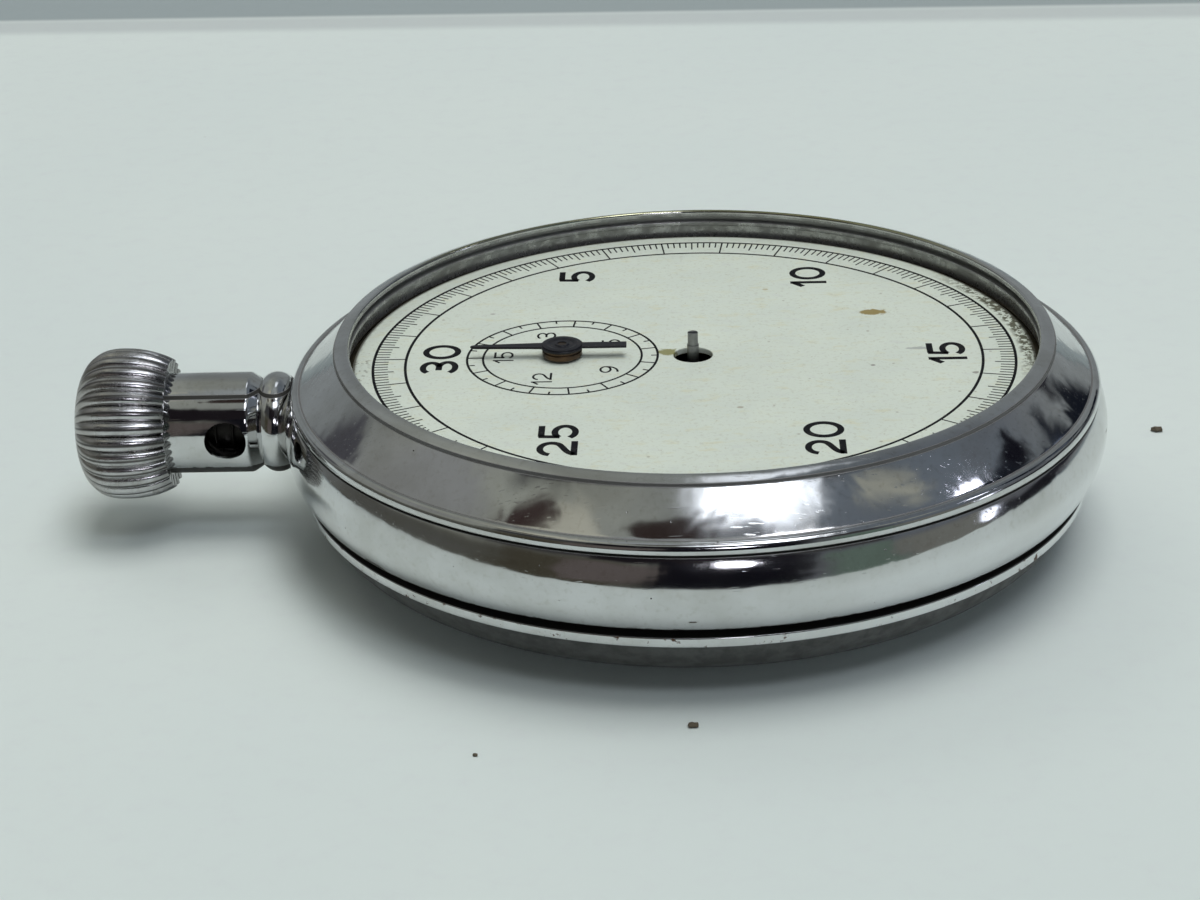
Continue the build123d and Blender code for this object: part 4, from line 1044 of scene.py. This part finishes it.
def make_hand():
    """Slim pointer, round boss and straight tail, cut from one plate."""
    boss_r = 1.45
    half_width = 0.4
    tail_length, blade_length = 4.35, 6.2
    tip = [(-blade_length + 0.3, 0.2), (-blade_length + 0.08, 0.12)]
    turn = math.degrees(math.asin(half_width / boss_r))
    outline = [(tail_length, -half_width), (tail_length, half_width)]
    outline += bow((0, 0), (boss_r, boss_r), turn, 180 - turn, 26)
    outline += [*tip, (-blade_length, 0), *((a, -b) for a, b in tip[::-1])]
    outline += bow((0, 0), (boss_r, boss_r), 180 + turn, 360 - turn, 26)
    outline = [(MINUTE[0] + a, MINUTE[1] + b) for a, b in outline]
    hand = bare("minute_pointer", slab(outline, HAND_LOW, HAND_TOP, 0.03))
    hole = [(0, HAND_LOW - 1), (0.3, HAND_LOW - 1), (0.3, HAND_TOP + 1), (0, HAND_TOP + 1)]
    cut(hand, spin(hole, 40, lambda r, a, h: upright(r, a, h, MINUTE)))
    return finish_piece(hand, HAND_LACQUER, "minute_counter", ["minute_hand"])


def make_boss():
    """Rolled rim and dished centre on top of the hand."""
    corners = [
        (0.3, HAND_TOP - 0.02, 0), (1.36, HAND_TOP - 0.02, 0.02), (1.36, HAND_TOP + 0.07, 0.04),
        (1.02, HAND_TOP + 0.09, 0.05), (0.78, HAND_TOP + 0.02, 0.05), (0.5, HAND_TOP + 0.02, 0.04),
        (0.44, HAND_TOP + 0.10, 0.04), (0.3, HAND_TOP + 0.10, 0.02),
    ]
    boss = bare("hand_boss", spin(rounded(corners), 96, lambda r, a, h: upright(r, a, h, MINUTE)))
    return finish_piece(boss, HAND_LACQUER, "minute_counter")


def make_collet():
    corners = [
        (0.3, HUB_LOW, 0.03), (HUB_R, HUB_LOW, 0.08), (HUB_R, HUB_LOW + 0.36, 0.05),
        (HUB_R - 0.08, HUB_LOW + 0.40, 0.02), (HUB_R - 0.08, HUB_LOW + 0.46, 0.02),
        (HUB_R, HUB_LOW + 0.50, 0.03), (HUB_R, HAND_LOW, 0.02), (0.3, HAND_LOW, 0.02),
    ]
    collet = bare("hand_collet", spin(rounded(corners), 96, lambda r, a, h: upright(r, a, h, MINUTE)))
    return finish_piece(collet, COLLET, "minute_counter", ["minute_hub"])


for make in (make_bezel, make_band, make_back, make_tube, make_crown, make_dial, make_seconds_scale,
             make_minutes_scale, make_numerals, make_hand, make_boss, make_collet):
    make()

SLOT_MATERIALS = {
    "chrome": CHROME, "gilt_brass": GILT, "movement_steel": STEEL, "screw_steel": BLUED,
    "black_hand": HAND_LACQUER, "dial_paint": DIAL_PAINT, "ruby": RUBY,
}
OWN_MATERIALS = {
    "sweep_arbor": ARBOR, "minute_arbor": COLLET, "crown_sleeve": OILED, "crown_spring": OILED,
    "main_plate": AGED_GILT,
}
for subpart in frame["record"]["subparts"]:
    node = frame["nodes"][subpart["node"]]
    node.data.materials.clear()
    node.data.materials.append(OWN_MATERIALS.get(subpart["node"], SLOT_MATERIALS[subpart["material_slot"]]))


# ======== table ========

TABLE_NEAR = -62.0
TABLE_SIZE = 1500.0


def make_table():
    """Table in two sheets; the near one stays out of reflections, where the table ends."""
    top = table_material()
    sheets = ((TABLE_NEAR, TABLE_SIZE, "table", True), (-TABLE_SIZE, TABLE_NEAR, "table_near", False))
    for near, far, name, mirrored in sheets:
        verts = [(-TABLE_SIZE, near, 0), (TABLE_SIZE, near, 0), (TABLE_SIZE, far, 0), (-TABLE_SIZE, far, 0)]
        sheet = finish_piece(bare(name, (verts, [[0, 1, 2, 3]])), top)
        sheet.visible_glossy = mirrored


def make_crumbs():
    """Three specks of dirt lying on the table."""
    dirt = crumb_material()
    for index, (at, size) in enumerate((((33.7, 13.1), 0.32), ((-0.3, -28.8), 0.26), ((-13.2, -31.9), 0.15))):
        work = bmesh.new()
        bmesh.ops.create_icosphere(work, subdivisions=2, radius=size)
        for vert in work.verts:
            wobble = 1 + 0.3 * math.sin(vert.co.x * 19 + index) * math.cos(vert.co.y * 17)
            stretched = vert.co * Vector((1.3, 1, 0.6)) * wobble
            vert.co = stretched + Vector((*at, size * 0.5))
        mesh = bpy.data.meshes.new(f"crumb_{index}")
        work.to_mesh(mesh)
        work.free()
        crumb = bpy.data.objects.new(f"crumb_{index}", mesh)
        bpy.context.scene.collection.objects.link(crumb)
        finish_piece(crumb, dirt)


make_table()
make_crumbs()

# ======== light ========

# Soft patches of the room: bearing from the camera's side and height in degrees, half sizes,
# softness and colour. Later ones lie over earlier ones.
ROOM = [
    ("haze round the window", 23, 59.5, 29, 6, 5, (0.75, 0.80, 0.85)),
    ("pale wall high on the left", -82, 66, 34, 6.5, 3, (0.46, 0.46, 0.385)),
    ("dim wall on the left", -104, 42, 24, 14, 8, (0.27, 0.28, 0.275)),
    ("dim room in front", -5, 39, 62, 13, 5, (0.05, 0.05, 0.052)),
    ("shade low on the left", -36, 6, 20, 22, 8, (0.06, 0.055, 0.04)),
    ("green curtain", 46, 4, 10, 20, 3, (0.12, 0.165, 0.14)),
    ("beige wall", 70, 2, 14, 17, 4, (0.17, 0.175, 0.16)),
    ("dark doorway", 101, -1, 12, 12, 2.5, (0.012, 0.012, 0.016)),
    ("viewer", 8, 6, 21, 29, 3, (0.006, 0.006, 0.009)),
    ("dark beam", -8, 39, 22, 12, 2.5, (0.012, 0.010, 0.012)),
    ("brown chest", -24, 8, 12, 15, 3, (0.11, 0.095, 0.09)),
    ("dark shelf above", -12, 71.5, 24, 4.0, 1.2, (0.030, 0.020, 0.018)),
    ("lintel above the window", 30, 69.5, 20, 3.5, 1.2, (0.14, 0.15, 0.17)),
    ("brown picture", -70, 59, 13, 2.8, 1.5, (0.04, 0.025, 0.024)),
    ("dark corner left", -128, 24, 7, 6, 3, (0.07, 0.07, 0.08)),
    ("dark plant high", 117, 38, 8, 5, 1.4, (0.006, 0.008, 0.014)),
    ("dark plant", 131, 28, 9, 8, 1.6, (0.006, 0.008, 0.016)),
    ("dark plant low", 143, 14, 8, 6, 1.6, (0.008, 0.010, 0.016)),
    ("haze on the plant", 130, 27, 4.5, 3.5, 2, (0.04, 0.05, 0.075)),
    ("spot on the plant", 131, 26, 1.6, 1.4, 0.8, (0.30, 0.36, 0.48)),
    ("dark hook", 112, 31, 3.2, 3, 0.8, (0.006, 0.006, 0.010)),
    ("dark chair", 122, 8, 12, 5, 2, (0.02, 0.02, 0.026)),
    ("pale shelf right", 78, 50.5, 15, 2.8, 3.2, (0.39, 0.395, 0.335)),
    ("glow round the window", 24, 59.3, 25, 6, 5, (1.5, 1.6, 1.75)),
    ("window", 23, 59.3, 16, 4.2, 4.2, (8.5, 9.0, 9.8)),
    ("skylight behind", 172, 63, 13, 7, 4, (1.05, 1.12, 1.2)),
    ("lamp over the crown", 62, 78, 16, 9, 3, (5.0, 5.1, 5.4)),
    ("front lamp", 11, 23, 3.2, 3.6, 1, (9.0, 9.0, 10.0)),
    ("low lamp", 85, 8, 2.6, 4, 1.2, (3.0, 3.2, 3.8)),
    ("side lamp", 103, 42, 2.6, 2.2, 1, (9.0, 9.2, 11.0)),
]


def make_room():
    """World light: a dim room, warm to the left and cool to the right, with its soft patches."""
    world = bpy.data.worlds.new("room")
    bpy.context.scene.world = world
    g = Graph(world)
    way = g.add("ShaderNodeTexCoord").outputs["Generated"]
    x, y, z = g.split(way)
    drift = g.math("SUBTRACT", g.noise(way, 3.5, 2, 0.4), 0.5)
    sway = g.math("SUBTRACT", g.noise(g.turned(way, (40, 10, 70), (1, 1, 1)), 4.5, 2, 0.4), 0.5)
    side = g.math("ADD", g.times(g.math("ARCTAN2", x, g.times(y, -1)), 180 / math.pi), g.times(drift, 22))
    height = g.math("ADD", g.times(g.math("ARCSINE", z), 180 / math.pi), g.times(sway, 12))
    rightness = g.step(x, -0.35, 0.35)
    mottled = g.step(g.noise(way, 2.2, 4, 0.55), 0.35, 0.65)
    walls = g.mix(rightness, (0.375, 0.395, 0.345), (0.14, 0.165, 0.195))
    low_walls = g.mix(rightness, (0.085, 0.085, 0.07), (0.12, 0.128, 0.145))
    colour = g.mix(g.step(height, 14, 34), low_walls, walls)
    behind = g.times(g.step(y, 0.2, 0.8), g.step(height, 60, 20))
    colour = g.mix(behind, colour, (0.27, 0.295, 0.30))
    colour = g.mix(g.step(height, 68, 80), colour, (0.355, 0.385, 0.39))
    colour = g.mix(g.times(mottled, 0.35), colour, (0.12, 0.125, 0.13))
    for name, at_side, at_height, half_side, half_height, soft, tone in ROOM:
        inside = g.between(side, at_side - half_side, at_side + half_side, soft)
        inside = g.times(inside, g.between(height, at_height - half_height, at_height + half_height, soft))
        colour = g.mix(inside, colour, tone)
        colour.node.label = name
    shader = g.add("ShaderNodeBackground", {"Color": colour, "Strength": 1.0})
    out = g.add("ShaderNodeOutputWorld")
    g.tree.links.new(shader.outputs[0], out.inputs["Surface"])


def make_lamp(name, place, size, power, tone):
    """Large soft light aimed at the watch; it lights matt surfaces but stays out of the chrome."""
    data = bpy.data.lights.new(name, "AREA")
    data.shape = "RECTANGLE"
    data.size, data.size_y = size
    data.energy = power
    data.color = tone
    lamp = bpy.data.objects.new(name, data)
    lamp.location = place
    lamp.rotation_euler = (-Vector(place)).to_track_quat("-Z", "Y").to_euler()
    lamp.visible_glossy = False
    bpy.context.scene.collection.objects.link(lamp)


make_lamp("sky_light", (0.11, 0.0, 0.85), (0.55, 0.45), 3.1, (1.0, 0.985, 0.955))
make_lamp("back_light", (-0.35, 0.55, 0.70), (0.60, 0.40), 0.8, (1.0, 0.99, 0.97))
make_room()

# ======== camera ========

AIM = Vector((-6.33, -3.98, 7.0))
DISTANCE = 188.8
AZIMUTH, ELEVATION, ROLL = (math.radians(angle) for angle in (2.222, 24.507, -1.85))


def make_camera():
    data = bpy.data.cameras.new("camera")
    data.lens = 84.575
    data.sensor_width = 36
    data.clip_start = 0.005
    camera = bpy.data.objects.new("camera", data)
    bpy.context.scene.collection.objects.link(camera)
    back = Vector((
        math.sin(AZIMUTH) * math.cos(ELEVATION), -math.cos(AZIMUTH) * math.cos(ELEVATION),
        math.sin(ELEVATION),
    ))
    right = Vector((math.cos(AZIMUTH), math.sin(AZIMUTH), 0))
    level = Matrix((right, back.cross(right), back)).transposed()
    turn = level @ Matrix.Rotation(ROLL, 3, "Z")
    camera.matrix_world = Matrix.LocRotScale((AIM + back * DISTANCE) * MM, turn, None)
    bpy.context.scene.camera = camera


make_camera()
bpy.context.scene.view_settings.view_transform = "Standard"

sizes = {"cad": CAD_BOX, "visual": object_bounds()}
{name: [list(corner) for corner in box] for name, box in sizes.items()}
